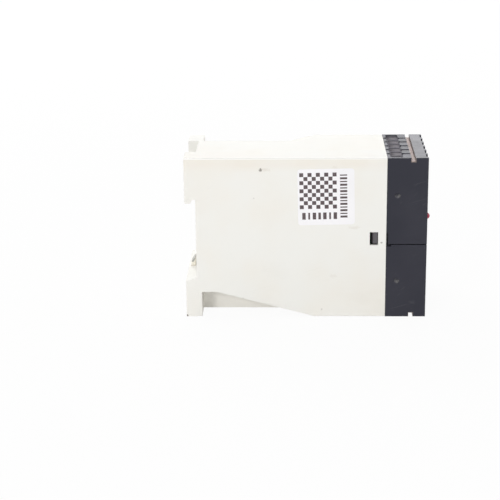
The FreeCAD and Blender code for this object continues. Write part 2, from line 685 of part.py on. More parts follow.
def upper_terminal_block():
    """Upper block: lamp and adjuster holes, snap arms, and the groove that takes the seam tongue."""
    body = terminal_block("upper_terminal_block", upper_edge, SEAM, above_seam)
    lamp = Circle(ZERO, LAMP_LEVEL, D.lamp_diameter + D.fit_gap)
    knob = Circle(ZERO, KNOB_LEVEL, D.knob_diameter + D.run_gap * 2)
    pocket(body, "YZ", [lamp, knob], FRONT_FACE - D.front_wall - D.overcut, FRONT_FACE + D.overcut)
    tongue_rear = D.housing_depth + D.tongue_setback - D.fit_gap
    tongue_front = D.housing_depth + D.tongue_setback + D.tongue_thick + D.fit_gap
    tongue_half = D.tongue_width / 2 + D.fit_gap
    groove_top = SEAM + D.tongue_height + D.fit_gap
    groove = rectangle(tongue_rear, tongue_front, SEAM - D.overcut, groove_top)
    pocket(body, "XZ", [groove], -tongue_half, tongue_half)
    nose_rear = WINDOW_REAR + D.nose_rear_gap
    nose_low = WINDOW_LOW + D.nose_side_gap
    nose_high = WINDOW_HIGH - D.nose_side_gap
    arm_outer = INNER_HALF - D.fit_gap
    arm_low = SEAM + D.fit_gap
    arm = rectangle(nose_rear, D.housing_depth + D.arm_root, arm_low, nose_high)
    pad(body, "XZ", [arm], arm_outer - D.arm_thick, arm_outer)
    pad(body, "XZ", [arm], -arm_outer, -(arm_outer - D.arm_thick))
    nose_front = WINDOW_FRONT - D.nose_side_gap
    nose_outer = HALF_WIDTH - D.nose_sink
    nose = [
        (nose_rear, arm_outer - D.arm_thick / 2),
        (nose_front, arm_outer - D.arm_thick / 2),
        (nose_front, nose_outer),
        (nose_rear + D.nose_ramp, nose_outer),
        (nose_rear, arm_outer),
    ]
    near_nose = [(depth, -across) for depth, across in reversed(nose)]
    pad(body, "XY", [nose, near_nose], arm_low, nose_high)
    slot = rectangle(D.housing_depth - D.overcut, D.housing_depth + D.arm_slot, SEAM - D.overcut, nose_high)
    pocket(body, "XZ", [slot], arm_outer, HALF_WIDTH + D.overcut)
    pocket(body, "XZ", [slot], -(HALF_WIDTH + D.overcut), -arm_outer)
    return body


def above_seam(distance):
    """Height of a point inside the upper block, measured from the seam."""
    return SEAM + distance


def below_seam(distance):
    """Height of a point inside the lower block, measured from the seam."""
    return SEAM - D.seam_gap - distance


def lower_terminal_block():
    """Lower block: seam tongue that keys it to the upper block, and a pry notch on each side."""
    body = terminal_block("lower_terminal_block", lower_edge, below_seam(ZERO), below_seam)
    tongue_rear = D.housing_depth + D.tongue_setback
    tongue_half = D.tongue_width / 2
    tongue_low = below_seam(D.block_floor / 2)
    tongue_high = SEAM + D.tongue_height
    tongue = rectangle(tongue_rear, tongue_rear + D.tongue_thick, tongue_low, tongue_high)
    pad(body, "XZ", [tongue], -tongue_half, tongue_half)
    notch_rear = D.housing_depth - D.overcut
    notch_front = D.housing_depth + D.pry_length
    notch = rectangle(notch_rear, notch_front, below_seam(D.pry_height), SEAM)
    pry_inner = HALF_WIDTH - D.pry_depth
    pocket(body, "XZ", [notch], pry_inner, HALF_WIDTH + D.overcut)
    pocket(body, "XZ", [notch], -(HALF_WIDTH + D.overcut), -pry_inner)
    return body


def terminal_screw(label, across, up):
    """Slotted terminal screw whose tip bears on the contact bar."""
    body = new_body(label, across, up)
    tip = BAR_FRONT + D.tip_gap
    head_front = HEAD_REAR + D.head_height
    shaft = D.screw_diameter / 2
    head = D.head_diameter / 2
    profile = [
        (tip, ZERO),
        (tip, shaft),
        (HEAD_REAR, shaft),
        (HEAD_REAR, head),
        (head_front, head),
        (head_front, ZERO),
    ]
    revolve(body, profile)
    slot = rectangle(-D.head_diameter, D.head_diameter, -(D.drive_width / 2), D.drive_width / 2)
    pocket(body, "YZ", [slot], head_front - D.drive_depth, head_front + D.overcut)
    return body


def terminal_clamp(label, across, up):
    """Clamping yoke: a strip folded round bar and wire, whose two front lips ride on the thread."""
    body = new_body(label, across, up)
    inner_rear = CLAMP_REAR + D.clamp_rear
    profile = [
        (CLAMP_REAR, -CLAMP_HALF),
        (CLAMP_FRONT, -CLAMP_HALF),
        (CLAMP_FRONT, -LIP_EDGE),
        (CLAMP_INNER_FRONT, -LIP_EDGE),
        (CLAMP_INNER_FRONT, -CLAMP_INNER_HALF),
        (inner_rear, -CLAMP_INNER_HALF),
        (inner_rear, CLAMP_INNER_HALF),
        (CLAMP_INNER_FRONT, CLAMP_INNER_HALF),
        (CLAMP_INNER_FRONT, LIP_EDGE),
        (CLAMP_FRONT, LIP_EDGE),
        (CLAMP_FRONT, CLAMP_HALF),
        (CLAMP_REAR, CLAMP_HALF),
    ]
    pad(body, "XY", [profile], -(D.clamp_height / 2), D.clamp_height / 2)
    return body


def contact_bars(label, level):
    """Row of contact bars: an upright blade in each chamber and a tail to the front board."""
    body = new_body(label)
    tail_outer = level(D.tail_level)
    tail_inner = level(D.tail_level + D.bar_thick)
    blade_end = level(D.screw_level - D.clamp_height / 2)
    profile = [
        (SPIGOT_REAR, tail_inner),
        (BAR_FRONT, tail_inner),
        (BAR_FRONT, blade_end),
        (BAR_REAR, blade_end),
        (BAR_REAR, tail_outer),
        (SPIGOT_REAR, tail_outer),
    ]
    middle = FIRST_TERMINAL
    blade = pad(body, "XZ", [profile], middle - BAR_HALF, middle + BAR_HALF)
    pin_rear = FRONT_BOARD_REAR - D.pin_reach
    pin_profile = rectangle(pin_rear, SPIGOT_REAR, tail_inner, tail_outer)
    pin = pad(body, "XZ", [pin_profile], middle - D.pin_width / 2, middle + D.pin_width / 2)
    repeat(body, [blade, pin], "Y_Axis", TERMINAL_SPAN, TERMINALS)
    return body


def marker_strip():
    """Pale strip that lies on the floor of the top groove."""
    body = new_body("marker_strip")
    rear = D.housing_depth + D.groove_setback + D.fit_gap / 2
    front = D.housing_depth + D.groove_setback + D.groove_width - D.fit_gap / 2
    low = upper_edge(D.groove_depth)
    half = HALF_WIDTH - D.fit_gap
    pad(body, "XZ", [rectangle(rear, front, low, low + D.strip_thick)], -half, half)
    return body


def main_board():
    """Upright circuit board along the depth, held in the guides of the housing."""
    body = new_body("main_board")
    rear = INNER_REAR + D.board_inset
    low = D.wall + D.board_gap
    high = D.module_height - D.wall - D.board_gap
    pad(body, "XZ", [rectangle(rear, FRONT_BOARD_REAR, low, high)], -BOARD_HALF, BOARD_HALF)
    return body


def front_board():
    """Circuit board behind the terminals, notched beside the snap arms and drilled for the pins."""
    body = new_body("front_board")
    half = INNER_HALF - D.front_board_edge
    low = D.wall + D.front_board_edge
    high = D.module_height - D.wall - D.front_board_edge
    pad(body, "YZ", [rectangle(-half, half, low, high)], FRONT_BOARD_REAR, SPIGOT_REAR)
    notch_inner = INNER_HALF - D.fit_gap - D.arm_thick - D.fit_gap
    notch_low = SEAM - D.fit_gap
    notches = both_sides(notch_inner, half + D.overcut, notch_low, WINDOW_HIGH + D.fit_gap)
    rear = FRONT_BOARD_REAR - D.overcut
    front = SPIGOT_REAR + D.overcut
    pocket(body, "YZ", notches, rear, front)
    lead_inner = D.lead_pitch / 2 - D.lead_size / 2 - D.pin_gap
    lead_outer = D.lead_pitch / 2 + D.lead_size / 2 + D.pin_gap
    lead_half = D.lead_size / 2 + D.pin_gap
    leads = both_sides(lead_inner, lead_outer, LAMP_LEVEL - lead_half, LAMP_LEVEL + lead_half)
    pocket(body, "YZ", leads, rear, front)
    pin_half = D.pin_width / 2 + D.pin_gap
    holes = []
    for level in (upper_edge, lower_edge):
        near = level(D.tail_level - D.pin_gap)
        far = level(D.tail_level + D.bar_thick + D.pin_gap)
        hole = rectangle(FIRST_TERMINAL - pin_half, FIRST_TERMINAL + pin_half, near, far)
        holes.append(pocket(body, "YZ", [hole], rear, front))
    repeat(body, holes, "Y_Axis", TERMINAL_SPAN, TERMINALS)
    return body


def indicator_lamp():
    """Lamp with a bevelled crown, kept by a collar behind the front wall."""
    body = new_body("indicator_lamp", ZERO, LAMP_LEVEL)
    collar_front = FRONT_FACE - D.front_wall
    collar_rear = collar_front - D.lamp_collar_thick
    crown = FRONT_FACE + D.lamp_reach
    collar = D.lamp_diameter / 2 + D.lamp_collar_lip
    radius = D.lamp_diameter / 2
    profile = [
        (collar_rear, ZERO),
        (collar_rear, collar),
        (collar_front, collar),
        (collar_front, radius),
        (crown - D.lamp_bevel, radius),
        (crown, radius - D.lamp_bevel),
        (crown, ZERO),
    ]
    revolve(body, profile)
    return body


def lamp_leads():
    """Two leads from the lamp to the front board."""
    body = new_body("lamp_leads")
    inner = D.lead_pitch / 2 - D.lead_size / 2
    outer = D.lead_pitch / 2 + D.lead_size / 2
    low = LAMP_LEVEL - D.lead_size / 2
    high = LAMP_LEVEL + D.lead_size / 2
    rear = FRONT_BOARD_REAR - D.pin_reach
    front = FRONT_FACE - D.front_wall - D.lamp_collar_thick
    pad(body, "YZ", both_sides(inner, outer, low, high), rear, front)
    return body


def potentiometer():
    """Square potentiometer on the front board, bored for the adjuster's stem."""
    body = new_body("potentiometer", ZERO, KNOB_LEVEL)
    half = D.pot_size / 2
    front = SPIGOT_REAR + D.pot_depth
    pad(body, "YZ", [rectangle(-half, half, -half, half)], SPIGOT_REAR, front)
    bore = Circle(ZERO, ZERO, D.knob_stem + D.thread_gap * 2)
    pocket(body, "YZ", [bore], front - D.stem_engagement - D.run_gap, front + D.overcut)
    return body


def sensitivity_knob():
    """Flush adjuster with a screwdriver slot, a retaining collar and a stem."""
    body = new_body("sensitivity_knob", ZERO, KNOB_LEVEL)
    stem_rear = SPIGOT_REAR + D.pot_depth - D.stem_engagement
    collar_front = FRONT_FACE - D.front_wall - D.run_gap
    collar_rear = collar_front - D.collar_thick
    face = FRONT_FACE - D.knob_sink
    stem = D.knob_stem / 2
    collar = D.knob_diameter / 2 + D.collar_lip
    radius = D.knob_diameter / 2
    profile = [
        (stem_rear, ZERO),
        (stem_rear, stem),
        (collar_rear, stem),
        (collar_rear, collar),
        (collar_front, collar),
        (collar_front, radius),
        (face - D.knob_bevel, radius),
        (face, radius - D.knob_bevel),
        (face, ZERO),
    ]
    revolve(body, profile)
    half = D.knob_slot / 2
    slot = rectangle(-half, half, -D.knob_slot_reach, radius + D.overcut)
    pocket(body, "YZ", [slot], face - D.knob_slot_depth, face + D.overcut)
    return body


def transformer_core():
    """Laminated core with two winding windows."""
    body = new_body("transformer_core")
    half_length = D.core_length / 2
    half_height = D.core_height / 2
    limb = D.core_limb / 2
    window_half = D.core_window_height / 2
    x = D.transformer_place
    z = D.transformer_level
    near, far = core_faces()
    outline = rectangle(x - half_length, x + half_length, z - half_height, z + half_height)
    front_window = rectangle(x + limb, x + limb + D.core_window, z - window_half, z + window_half)
    rear_window = rectangle(x - limb - D.core_window, x - limb, z - window_half, z + window_half)
    pad(body, "XZ", [outline, front_window, rear_window], near, far)
    return body


def core_faces():
    """Near and far face of the laminated core across the width."""
    far = -(BOARD_HALF + D.bobbin_base + D.coil_build)
    near = -(INNER_HALF - D.transformer_clearance - D.coil_build)
    return near, far


def transformer_coil():
    """Coil and bobbin round the middle limb, standing on the main board by a foot plate."""
    body = new_body("transformer_coil")
    x = D.transformer_place
    z = D.transformer_level
    near, far = core_faces()
    inner_half = D.core_limb / 2 + D.coil_gap
    outer_half = D.core_limb / 2 + D.coil_build
    height = D.core_window_height / 2 - D.coil_gap
    outer = rectangle(x - outer_half, x + outer_half, near - D.coil_build, far + D.coil_build)
    inner = rectangle(x - inner_half, x + inner_half, near - D.coil_gap, far + D.coil_gap)
    pad(body, "XY", [outer, inner], z - height, z + height)
    plate_half = outer_half + D.bobbin_margin
    plate = rectangle(x - plate_half, x + plate_half, z - height, z + height)
    pad(body, "XZ", [plate], -(BOARD_HALF + D.bobbin_base), -BOARD_HALF)
    return body


def relay_y(distance):
    """Place across the width of a point of the output relay, measured from the board."""
    return BOARD_HALF + distance


def relay_x(distance):
    """Place along the depth of a point of the output relay."""
    return D.relay_place + distance


CAPACITOR_PLACE = D.transformer_place + (D.core_length + D.smoothing_diameter) / 2 + D.capacitor_gap
RELAY_MIDDLE = D.relay_level + D.relay_width / 2
YOKE_INNER = D.yoke_setback + D.yoke_thick
COIL_START = YOKE_INNER + D.fit_gap
COIL_END = COIL_START + D.relay_coil_length
POLE_REAR = COIL_END + D.fit_gap
POLE_FACE = POLE_REAR + D.pole_thick
ARMATURE_REAR = POLE_FACE + D.armature_gap
ARMATURE_FRONT = ARMATURE_REAR + D.armature_thick
LEG_LOW = D.relay_coil_level + D.relay_coil_width / 2 + D.fit_gap
LEG_HIGH = LEG_LOW + D.yoke_thick


def relay_base():
    """Base plate of the output relay, lying on the main board."""
    body = new_body("relay_base")
    high = D.relay_level + D.relay_width
    outline = rectangle(relay_x(ZERO), relay_x(D.relay_length), D.relay_level, high)
    pad(body, "XZ", [outline], relay_y(ZERO), relay_y(D.relay_base_thick))
    return body


def relay_cover():
    """Thin cover that stands on the base of the output relay."""
    body = new_body("relay_cover")
    shell = D.relay_shell
    low = D.relay_level
    high = low + D.relay_width
    floor = relay_y(D.relay_base_thick)
    roof = INNER_HALF - D.relay_clearance
    outer = rectangle(relay_x(ZERO), relay_x(D.relay_length), low, high)
    inner = rectangle(relay_x(shell), relay_x(D.relay_length - shell), low + shell, high - shell)
    pad(body, "XZ", [outer], floor, roof)
    pocket(body, "XZ", [inner], floor - D.overcut, roof - shell)
    return body


def core_section(gap):
    """Square section of the relay's iron core, with a gap all round."""
    half = D.relay_core / 2 + gap
    y = relay_y(D.relay_coil_level)
    return rectangle(y - half, y + half, RELAY_MIDDLE - half, RELAY_MIDDLE + half)


def relay_coil():
    """Coil of the output relay on its flanged bobbin."""
    body = new_body("relay_coil")
    half = D.relay_coil_width / 2
    y = relay_y(D.relay_coil_level)
    flange = rectangle(y - half, y + half, RELAY_MIDDLE - half, RELAY_MIDDLE + half)
    winding = Circle(y, RELAY_MIDDLE, D.relay_coil_width - D.flange_thick)
    start = relay_x(COIL_START)
    end = relay_x(COIL_END)
    pad(body, "YZ", [flange], start, start + D.flange_thick)
    pad(body, "YZ", [winding], start + D.flange_thick / 2, end - D.flange_thick / 2)
    pad(body, "YZ", [flange], end - D.flange_thick, end)
    pocket(body, "YZ", [core_section(D.thread_gap)], start - D.overcut, end + D.overcut)
    return body


def relay_magnet_frame():
    """Angled yoke with the iron core and its pole face."""
    body = new_body("relay_magnet_frame")
    rear = relay_x(D.yoke_setback)
    low = RELAY_MIDDLE - D.yoke_width / 2
    high = RELAY_MIDDLE + D.yoke_width / 2
    leg_end = relay_x(ARMATURE_REAR - D.run_gap)
    angle = [
        (rear, relay_y(D.relay_base_thick)),
        (relay_x(YOKE_INNER), relay_y(D.relay_base_thick)),
        (relay_x(YOKE_INNER), relay_y(LEG_LOW)),
        (leg_end, relay_y(LEG_LOW)),
        (leg_end, relay_y(LEG_HIGH)),
        (rear, relay_y(LEG_HIGH)),
    ]
    pad(body, "XY", [angle], low, high)
    pole = Circle(relay_y(D.relay_coil_level), RELAY_MIDDLE, D.pole_diameter)
    pad(body, "YZ", [core_section(ZERO)], rear + D.yoke_thick / 2, relay_x(POLE_FACE))
    pad(body, "YZ", [pole], relay_x(POLE_REAR), relay_x(POLE_FACE))
    return body


def relay_armature():
    """Armature plate that tips on the end of the yoke about its own rounded edge."""
    body = new_body("relay_armature")
    low = RELAY_MIDDLE - D.yoke_width / 2
    high = RELAY_MIDDLE + D.yoke_width / 2
    radius = D.armature_thick / 2
    pivot = relay_y(LEG_HIGH - D.run_gap) - radius
    inner = relay_y(D.relay_coil_level - D.armature_drop)
    plate = rectangle(relay_x(ARMATURE_REAR), relay_x(ARMATURE_FRONT), inner, pivot)
    edge = Circle(relay_x(ARMATURE_REAR) + radius, pivot, D.armature_thick)
    pad(body, "XY", [plate], low, high)
    pad(body, "XY", [edge], low, high)
    return body


def contact_tip():
    """Outline of a contact tip of the output relay."""
    half = D.contact_size / 2
    y = relay_y(D.contact_level)
    return rectangle(y - half, y + half, RELAY_MIDDLE - half, RELAY_MIDDLE + half)


def relay_contact_spring():
    """Leaf on the armature with a moving contact on either side of its end."""
    body = new_body("relay_contact_spring")
    half = D.leaf_width / 2
    front = ARMATURE_FRONT + D.leaf_thick
    low = relay_y(D.leaf_level)
    leaf = rectangle(relay_x(ARMATURE_FRONT), relay_x(front), low, low + D.leaf_length)
    pad(body, "XY", [leaf], RELAY_MIDDLE - half, RELAY_MIDDLE + half)
    tip_rear = relay_x(ARMATURE_FRONT - D.contact_height)
    pad(body, "YZ", [contact_tip()], tip_rear, relay_x(front + D.contact_height))
    return body


def relay_fixed_contacts():
    """Two contact posts on the base, one on each side of the moving contact."""
    body = new_body("relay_fixed_contacts")
    half = D.leaf_width / 2
    floor = relay_y(D.relay_base_thick)
    top = relay_y(D.contact_level + D.contact_size / 2)
    rest_face = ARMATURE_FRONT + D.leaf_thick + D.contact_height + D.contact_rest_gap
    open_face = ARMATURE_FRONT - D.contact_height - D.contact_open_gap
    rest_post = rest_face + D.post_tip
    open_post = open_face - D.post_tip
    posts = [
        rectangle(relay_x(rest_post), relay_x(rest_post + D.post_thick), floor, top),
        rectangle(relay_x(open_post - D.post_thick), relay_x(open_post), floor, top),
    ]
    pad(body, "XY", posts, RELAY_MIDDLE - half, RELAY_MIDDLE + half)
    pad(body, "YZ", [contact_tip()], relay_x(rest_face), relay_x(rest_post + D.post_thick / 2))
    pad(body, "YZ", [contact_tip()], relay_x(open_post - D.post_thick / 2), relay_x(open_face))
    return body


def capacitor(label, place, level, diameter, length):
    """Electrolytic capacitor standing on the near side of the main board."""
    body = new_body(label)
    pad(body, "XZ", [Circle(place, level, diameter)], -(BOARD_HALF + length), -BOARD_HALF)
    return body


def smoothing_capacitor():
    """Large capacitor of the supply."""
    place = CAPACITOR_PLACE
    level = D.smoothing_level
    diameter = D.smoothing_diameter
    return capacitor("smoothing_capacitor", place, level, diameter, D.smoothing_length)


def timing_capacitor():
    """Small capacitor of the delay."""
    place = CAPACITOR_PLACE
    level = D.timing_level
    diameter = D.timing_diameter
    return capacitor("timing_capacitor", place, level, diameter, D.timing_length)


def chip(label, place, level, length, pitch, legs):
    """Moulded chip on the near side of the main board, with a row of legs on both long sides."""
    body = new_body(label)
    high = level + D.chip_width
    underside = -(BOARD_HALF + D.standoff)
    case = rectangle(place, place + length, level, high)
    pad(body, "XZ", [case], underside - D.chip_height, underside)
    first = place + (length - pitch * (legs - 1) - D.leg_size) / 2
    outlines = []
    for step in range(legs):
        left = first + pitch * step
        outlines.append(rectangle(left, left + D.leg_size, level - D.leg_size, level))
        outlines.append(rectangle(left, left + D.leg_size, high, high + D.leg_size))
    pad(body, "XZ", outlines, underside - D.chip_height / 2, -BOARD_HALF)
    return body


def amplifier_chip():
    """Chip that amplifies the current of the electrodes."""
    x = D.amplifier_place
    return chip("amplifier_chip", x, D.amplifier_level, D.amplifier_length, D.leg_pitch, AMPLIFIER_LEGS)


def bridge_rectifier():
    """Four diodes moulded into one chip."""
    x = D.rectifier_place
    pitch = D.rectifier_pitch
    return chip("bridge_rectifier", x, D.rectifier_level, D.rectifier_length, pitch, RECTIFIER_LEGS)


def resistor_network():
    """Upright row of resistors moulded into one thin plate, with a row of legs below it."""
    body = new_body("resistor_network")
    x = CAPACITOR_PLACE + D.smoothing_diameter / 2 + D.network_gap
    low = upper_edge(D.network_drop + D.network_length)
    underside = -(BOARD_HALF + D.standoff)
    case = rectangle(x, x + D.network_thick, low, low + D.network_length)
    pad(body, "XZ", [case], underside - D.network_height, underside)
    left = x + (D.network_thick - D.leg_size) / 2
    first = low + (D.network_length - D.leg_pitch * (NETWORK_LEGS - 1) - D.leg_size) / 2
    outlines = []
    for step in range(NETWORK_LEGS):
        foot = first + D.leg_pitch * step
        outlines.append(rectangle(left, left + D.leg_size, foot, foot + D.leg_size))
    pad(body, "XZ", outlines, underside, -BOARD_HALF)
    return body


def terminals(level, first_number):
    """Screws and clamps along one edge."""
    for step in range(TERMINALS):
        across = FIRST_TERMINAL + TERMINAL_PITCH * step
        number = first_number + step
        terminal_screw(f"terminal_screw_{number:02d}", across, level(D.screw_level))
        terminal_clamp(f"terminal_clamp_{number:02d}", across, level(D.screw_level))


def build():
    """Make every sub-part."""
    housing()
    din_latch()
    latch_spring()
    upper_terminal_block()
    lower_terminal_block()
    terminals(upper_edge, 1)
    terminals(lower_edge, 1 + TERMINALS)
    contact_bars("upper_contact_bars", upper_edge)
    contact_bars("lower_contact_bars", lower_edge)
    marker_strip()
    main_board()
    front_board()
    indicator_lamp()
    lamp_leads()
    potentiometer()
    sensitivity_knob()
    transformer_core()
    transformer_coil()
    relay_base()
    relay_cover()
    relay_coil()
    relay_magnet_frame()
    relay_armature()
    relay_contact_spring()
    relay_fixed_contacts()
    smoothing_capacitor()
    timing_capacitor()
    amplifier_chip()
    bridge_rectifier()
    resistor_network()


def check():
    """Stop if an object failed, a shape is not sound, or a cut removed nothing."""
    doc.recompute()
    for item in doc.Objects:
        if "Invalid" in item.State or "Error" in item.State:
            raise RuntimeError(f"{item.Label} failed: {item.State}")
        if item.TypeId == "PartDesign::Pocket" and item.Shape.Volume >= item.BaseFeature.Shape.Volume:
            raise RuntimeError(f"{item.Label} cuts nothing")
    for part in sub_parts:
        if part.Shape.isNull() or not part.Shape.isValid():
            raise RuntimeError(f"{part.Label} has no sound shape")


def write():
    """Write one file for each sub-part."""
    os.makedirs("parts", exist_ok=True)
    for part in sub_parts:
        part.Shape.exportStep(f"parts/{part.Label}.step")


build()
check()
write()
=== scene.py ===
"""Looks of a rail-mounted liquid level relay, laid out as a Blender add-on.

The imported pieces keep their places. This file gives every piece its finish, softens the moulded
edges, adds the lamp lens, the dial marks and the stick-on label, and sets up a plain stage.
"""

import json
import math

import bmesh
import bpy
from bpy.props import FloatProperty, FloatVectorProperty, IntProperty, PointerProperty
from mathutils import Matrix, Vector


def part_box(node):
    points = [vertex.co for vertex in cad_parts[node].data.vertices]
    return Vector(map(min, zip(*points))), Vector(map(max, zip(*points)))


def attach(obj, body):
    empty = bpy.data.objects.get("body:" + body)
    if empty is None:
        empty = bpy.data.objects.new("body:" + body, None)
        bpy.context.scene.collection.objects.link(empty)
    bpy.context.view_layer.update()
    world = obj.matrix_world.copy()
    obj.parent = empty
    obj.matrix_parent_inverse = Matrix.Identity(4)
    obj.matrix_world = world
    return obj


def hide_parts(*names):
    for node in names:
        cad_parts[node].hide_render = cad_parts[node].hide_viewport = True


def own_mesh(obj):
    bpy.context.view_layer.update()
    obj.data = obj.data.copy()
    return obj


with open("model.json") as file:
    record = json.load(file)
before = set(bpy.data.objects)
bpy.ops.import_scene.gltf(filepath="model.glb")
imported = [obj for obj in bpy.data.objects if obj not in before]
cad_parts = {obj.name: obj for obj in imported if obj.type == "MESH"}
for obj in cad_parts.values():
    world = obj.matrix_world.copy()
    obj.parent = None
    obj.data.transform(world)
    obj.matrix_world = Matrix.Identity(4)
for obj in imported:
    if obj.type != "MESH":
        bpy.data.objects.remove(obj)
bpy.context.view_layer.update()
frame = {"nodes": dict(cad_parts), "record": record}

bl_info = {
    "name": "Level Relay Looks",
    "version": (1, 0, 0),
    "blender": (4, 5, 0),
    "location": "View3D > Sidebar > Level Relay",
    "description": "Finishes, label, lamp and stage of a rail-mounted level relay",
    "category": "Object",
}

MM = 0.001
TERMINALS = range(1, 13)
NODE_BODY = {
    node: body for body, nodes in frame["record"]["behaviour"]["bodies"].items() for node in nodes
}


# Sizes and colours that a user would change

def colour_property(name, description, default):
    """A colour that can be picked in the sidebar."""
    return FloatVectorProperty(
        name=name, description=description, subtype="COLOR", size=3, min=0.0, max=1.0, default=default
    )


def length_property(name, description, default):
    """A length in metres."""
    return FloatProperty(name=name, description=description, unit="LENGTH", precision=5, default=default)


def angle_property(name, description, default):
    """An angle in radians."""
    return FloatProperty(name=name, description=description, subtype="ANGLE", default=default)


def power_property(name, description, default):
    """The power of a light in watts."""
    return FloatProperty(name=name, description=description, unit="POWER", default=default)


def factor_property(name, description, default):
    """A share between nothing and all."""
    return FloatProperty(
        name=name, description=description, subtype="FACTOR", min=0.0, max=1.0, default=default
    )


class LEVELRELAY_PG_case(bpy.types.PropertyGroup):
    """Finish of the cream case"""

    colour: colour_property("Case", "Cream of the moulded case", (0.85, 0.845, 0.81))
    # Aged is also laid on the inner faces of the near recess as a painted warm shade
    aged: colour_property("Aged", "Cream where the plastic has yellowed", (0.84, 0.805, 0.735))
    dust: colour_property("Dust", "Dust that lies on the case", (0.70, 0.68, 0.63))
    # Rubbed is laid on the sides just below the top as a painted highlight along the top edge
    rubbed: colour_property("Rubbed", "Edges that handling has brightened", (0.96, 0.955, 0.93))
    grime: colour_property("Grime", "Specks and rubbed-in dirt", (0.16, 0.14, 0.12))
    roughness: factor_property("Roughness", "Satin sheen of the case", 0.46)
    edge: length_property("Edge", "Softness of the moulded edges", 0.25 * MM)
    grain: length_property("Grain", "Size of the moulded grain", 0.45 * MM)


class LEVELRELAY_PG_front(bpy.types.PropertyGroup):
    """Finish of the black terminal front"""

    colour: colour_property("Front", "Black of the terminal blocks", (0.008, 0.009, 0.018))
    aged: colour_property("Faded", "Black where handling has greyed it", (0.022, 0.022, 0.032))
    rubbed: colour_property("Rubbed", "Edges rubbed grey", (0.12, 0.12, 0.13))
    # Bloom: a painted sheen, the bluish tint of the reflection on faces that look up
    upward_painted_sheen: colour_property("Bloom", "Bluish haze of the faces that look up", (0.20, 0.195, 0.26))
    # Dimples: a painted highlight on the lower, lit half of each side dimple
    field: colour_property("Wire field", "Grey of the floor between the wire entries", (0.185, 0.175, 0.195))
    # Wire entries: dust on the entry walls, made paler deeper down as painted light against the shade in the
    # holes
    entry_dust_and_painted_light: colour_property("Wire entries", "Pale dust on the walls of the wire entries", (0.52, 0.495, 0.53))
    # Grooves: painted light that lifts the shade on the walls of the marker grooves
    groove_wall_painted_light: colour_property("Grooves", "Dirt on the walls of the marker grooves", (0.18, 0.15, 0.135))
    tongue: colour_property("Snap tongues", "Grey of the tongues in the side windows", (0.105, 0.098, 0.103))
    dimple: colour_property("Dimples", "Grey film in the dimples of the sides", (0.13, 0.126, 0.118))
    strip: colour_property("Marker strip", "Beige strip in the top groove", (0.74, 0.60, 0.57))
    latch: colour_property("Latch", "Yellowed plastic of the rail latch", (0.92, 0.885, 0.79))
    # Lead-in: the grey laid on the slanted lead-in of the latch's nose
    lead_in: colour_property("Lead-in", "Grey that the rail rubs into the latch's nose", (0.40, 0.41, 0.38))
    roughness: factor_property("Roughness", "Sheen of the blocks", 0.40)
    edge: length_property("Edge", "Softness of the moulded edges", 0.12 * MM)
    grain: length_property("Grain", "Size of the moulded grain", 0.30 * MM)


class LEVELRELAY_PG_label(bpy.types.PropertyGroup):
    """Stick-on label of the near side"""

    width: length_property("Width", "Width of the label", 24.9 * MM)
    height: length_property("Height", "Height of the label", 25.4 * MM)
    thickness: length_property("Thickness", "Thickness of the paper", 0.10 * MM)
    corner: length_property("Corner", "Radius of the corners", 1.3 * MM)
    across: length_property("Across", "Middle of the label along the depth", 7.45 * MM)
    up: length_property("Up", "Middle of the label above the floor", 55.7 * MM)
    tilt: angle_property("Tilt", "Turn of the label", math.radians(1.1))
    paper: colour_property("Paper", "White of the paper", (0.91, 0.90, 0.92))
    ink: colour_property("Ink", "Print on the label", (0.075, 0.052, 0.056))


class LEVELRELAY_PG_lamp(bpy.types.PropertyGroup):
    """Indicator lamp"""

    barrel: length_property("Barrel", "Diameter of the lens", 3.0 * MM)
    collar: length_property("Collar", "Length of the collar behind the front wall", 1.0 * MM)
    colour: colour_property("Lens", "Red of the lens", (0.60, 0.028, 0.085))


class LEVELRELAY_PG_dial(bpy.types.PropertyGroup):
    """Adjuster and the marks round it"""

    knob: colour_property("Knob", "Grey of the knob", (0.46, 0.45, 0.43))
    marks: IntProperty(name="Marks", description="Number of dial marks", min=2, default=11)
    sweep: angle_property("Sweep", "Angle that the marks span", math.radians(270))
    inner: length_property("Inner radius", "Start of a mark from the knob's axis", 5.5 * MM)
    outer: length_property("Outer radius", "End of a mark from the knob's axis", 6.7 * MM)
    width: length_property("Mark width", "Width of a mark", 0.35 * MM)
    print_colour: colour_property("Print", "Print of the marks", (0.78, 0.78, 0.76))


class LEVELRELAY_PG_stage(bpy.types.PropertyGroup):
    """Camera, lights and floor"""

    camera: FloatVectorProperty(
        name="Camera", description="Place of the camera", subtype="TRANSLATION", unit="LENGTH", size=3,
        default=(-5.91 * MM, -663.29 * MM, 233.87 * MM),
    )
    pitch: angle_property("Pitch", "Downward tilt", 0.3060)
    yaw: angle_property("Yaw", "Turn to the right", -0.0317)
    roll: angle_property("Roll", "Roll to the left", -0.0104)
    lens: FloatProperty(name="Lens", description="Focal length", unit="CAMERA", default=108.99)
    floor: length_property("Floor", "Length of the floor", 8.0)
    ambient: FloatProperty(name="Ambient", description="Light from all round", min=0.0, default=0.50)
    key: power_property("Key", "Power of the key light", 5.8)
    fill: power_property("Fill", "Power of the low fill light", 2.9)
    over: power_property("Over", "Power of the light overhead", 0.9)
    back: power_property("Back", "Power of the back light", 12.6)
    front: power_property("Front", "Power of the light in front of the terminals", 1.8)


class LEVELRELAY_PG_all(bpy.types.PropertyGroup):
    """All values of the level relay"""

    case: PointerProperty(type=LEVELRELAY_PG_case)
    front: PointerProperty(type=LEVELRELAY_PG_front)
    label: PointerProperty(type=LEVELRELAY_PG_label)
    lamp: PointerProperty(type=LEVELRELAY_PG_lamp)
    dial: PointerProperty(type=LEVELRELAY_PG_dial)
    stage: PointerProperty(type=LEVELRELAY_PG_stage)


# Node trees

def opaque(colour):
    """A colour with full alpha."""
    return (*tuple(colour)[:3], 1.0)


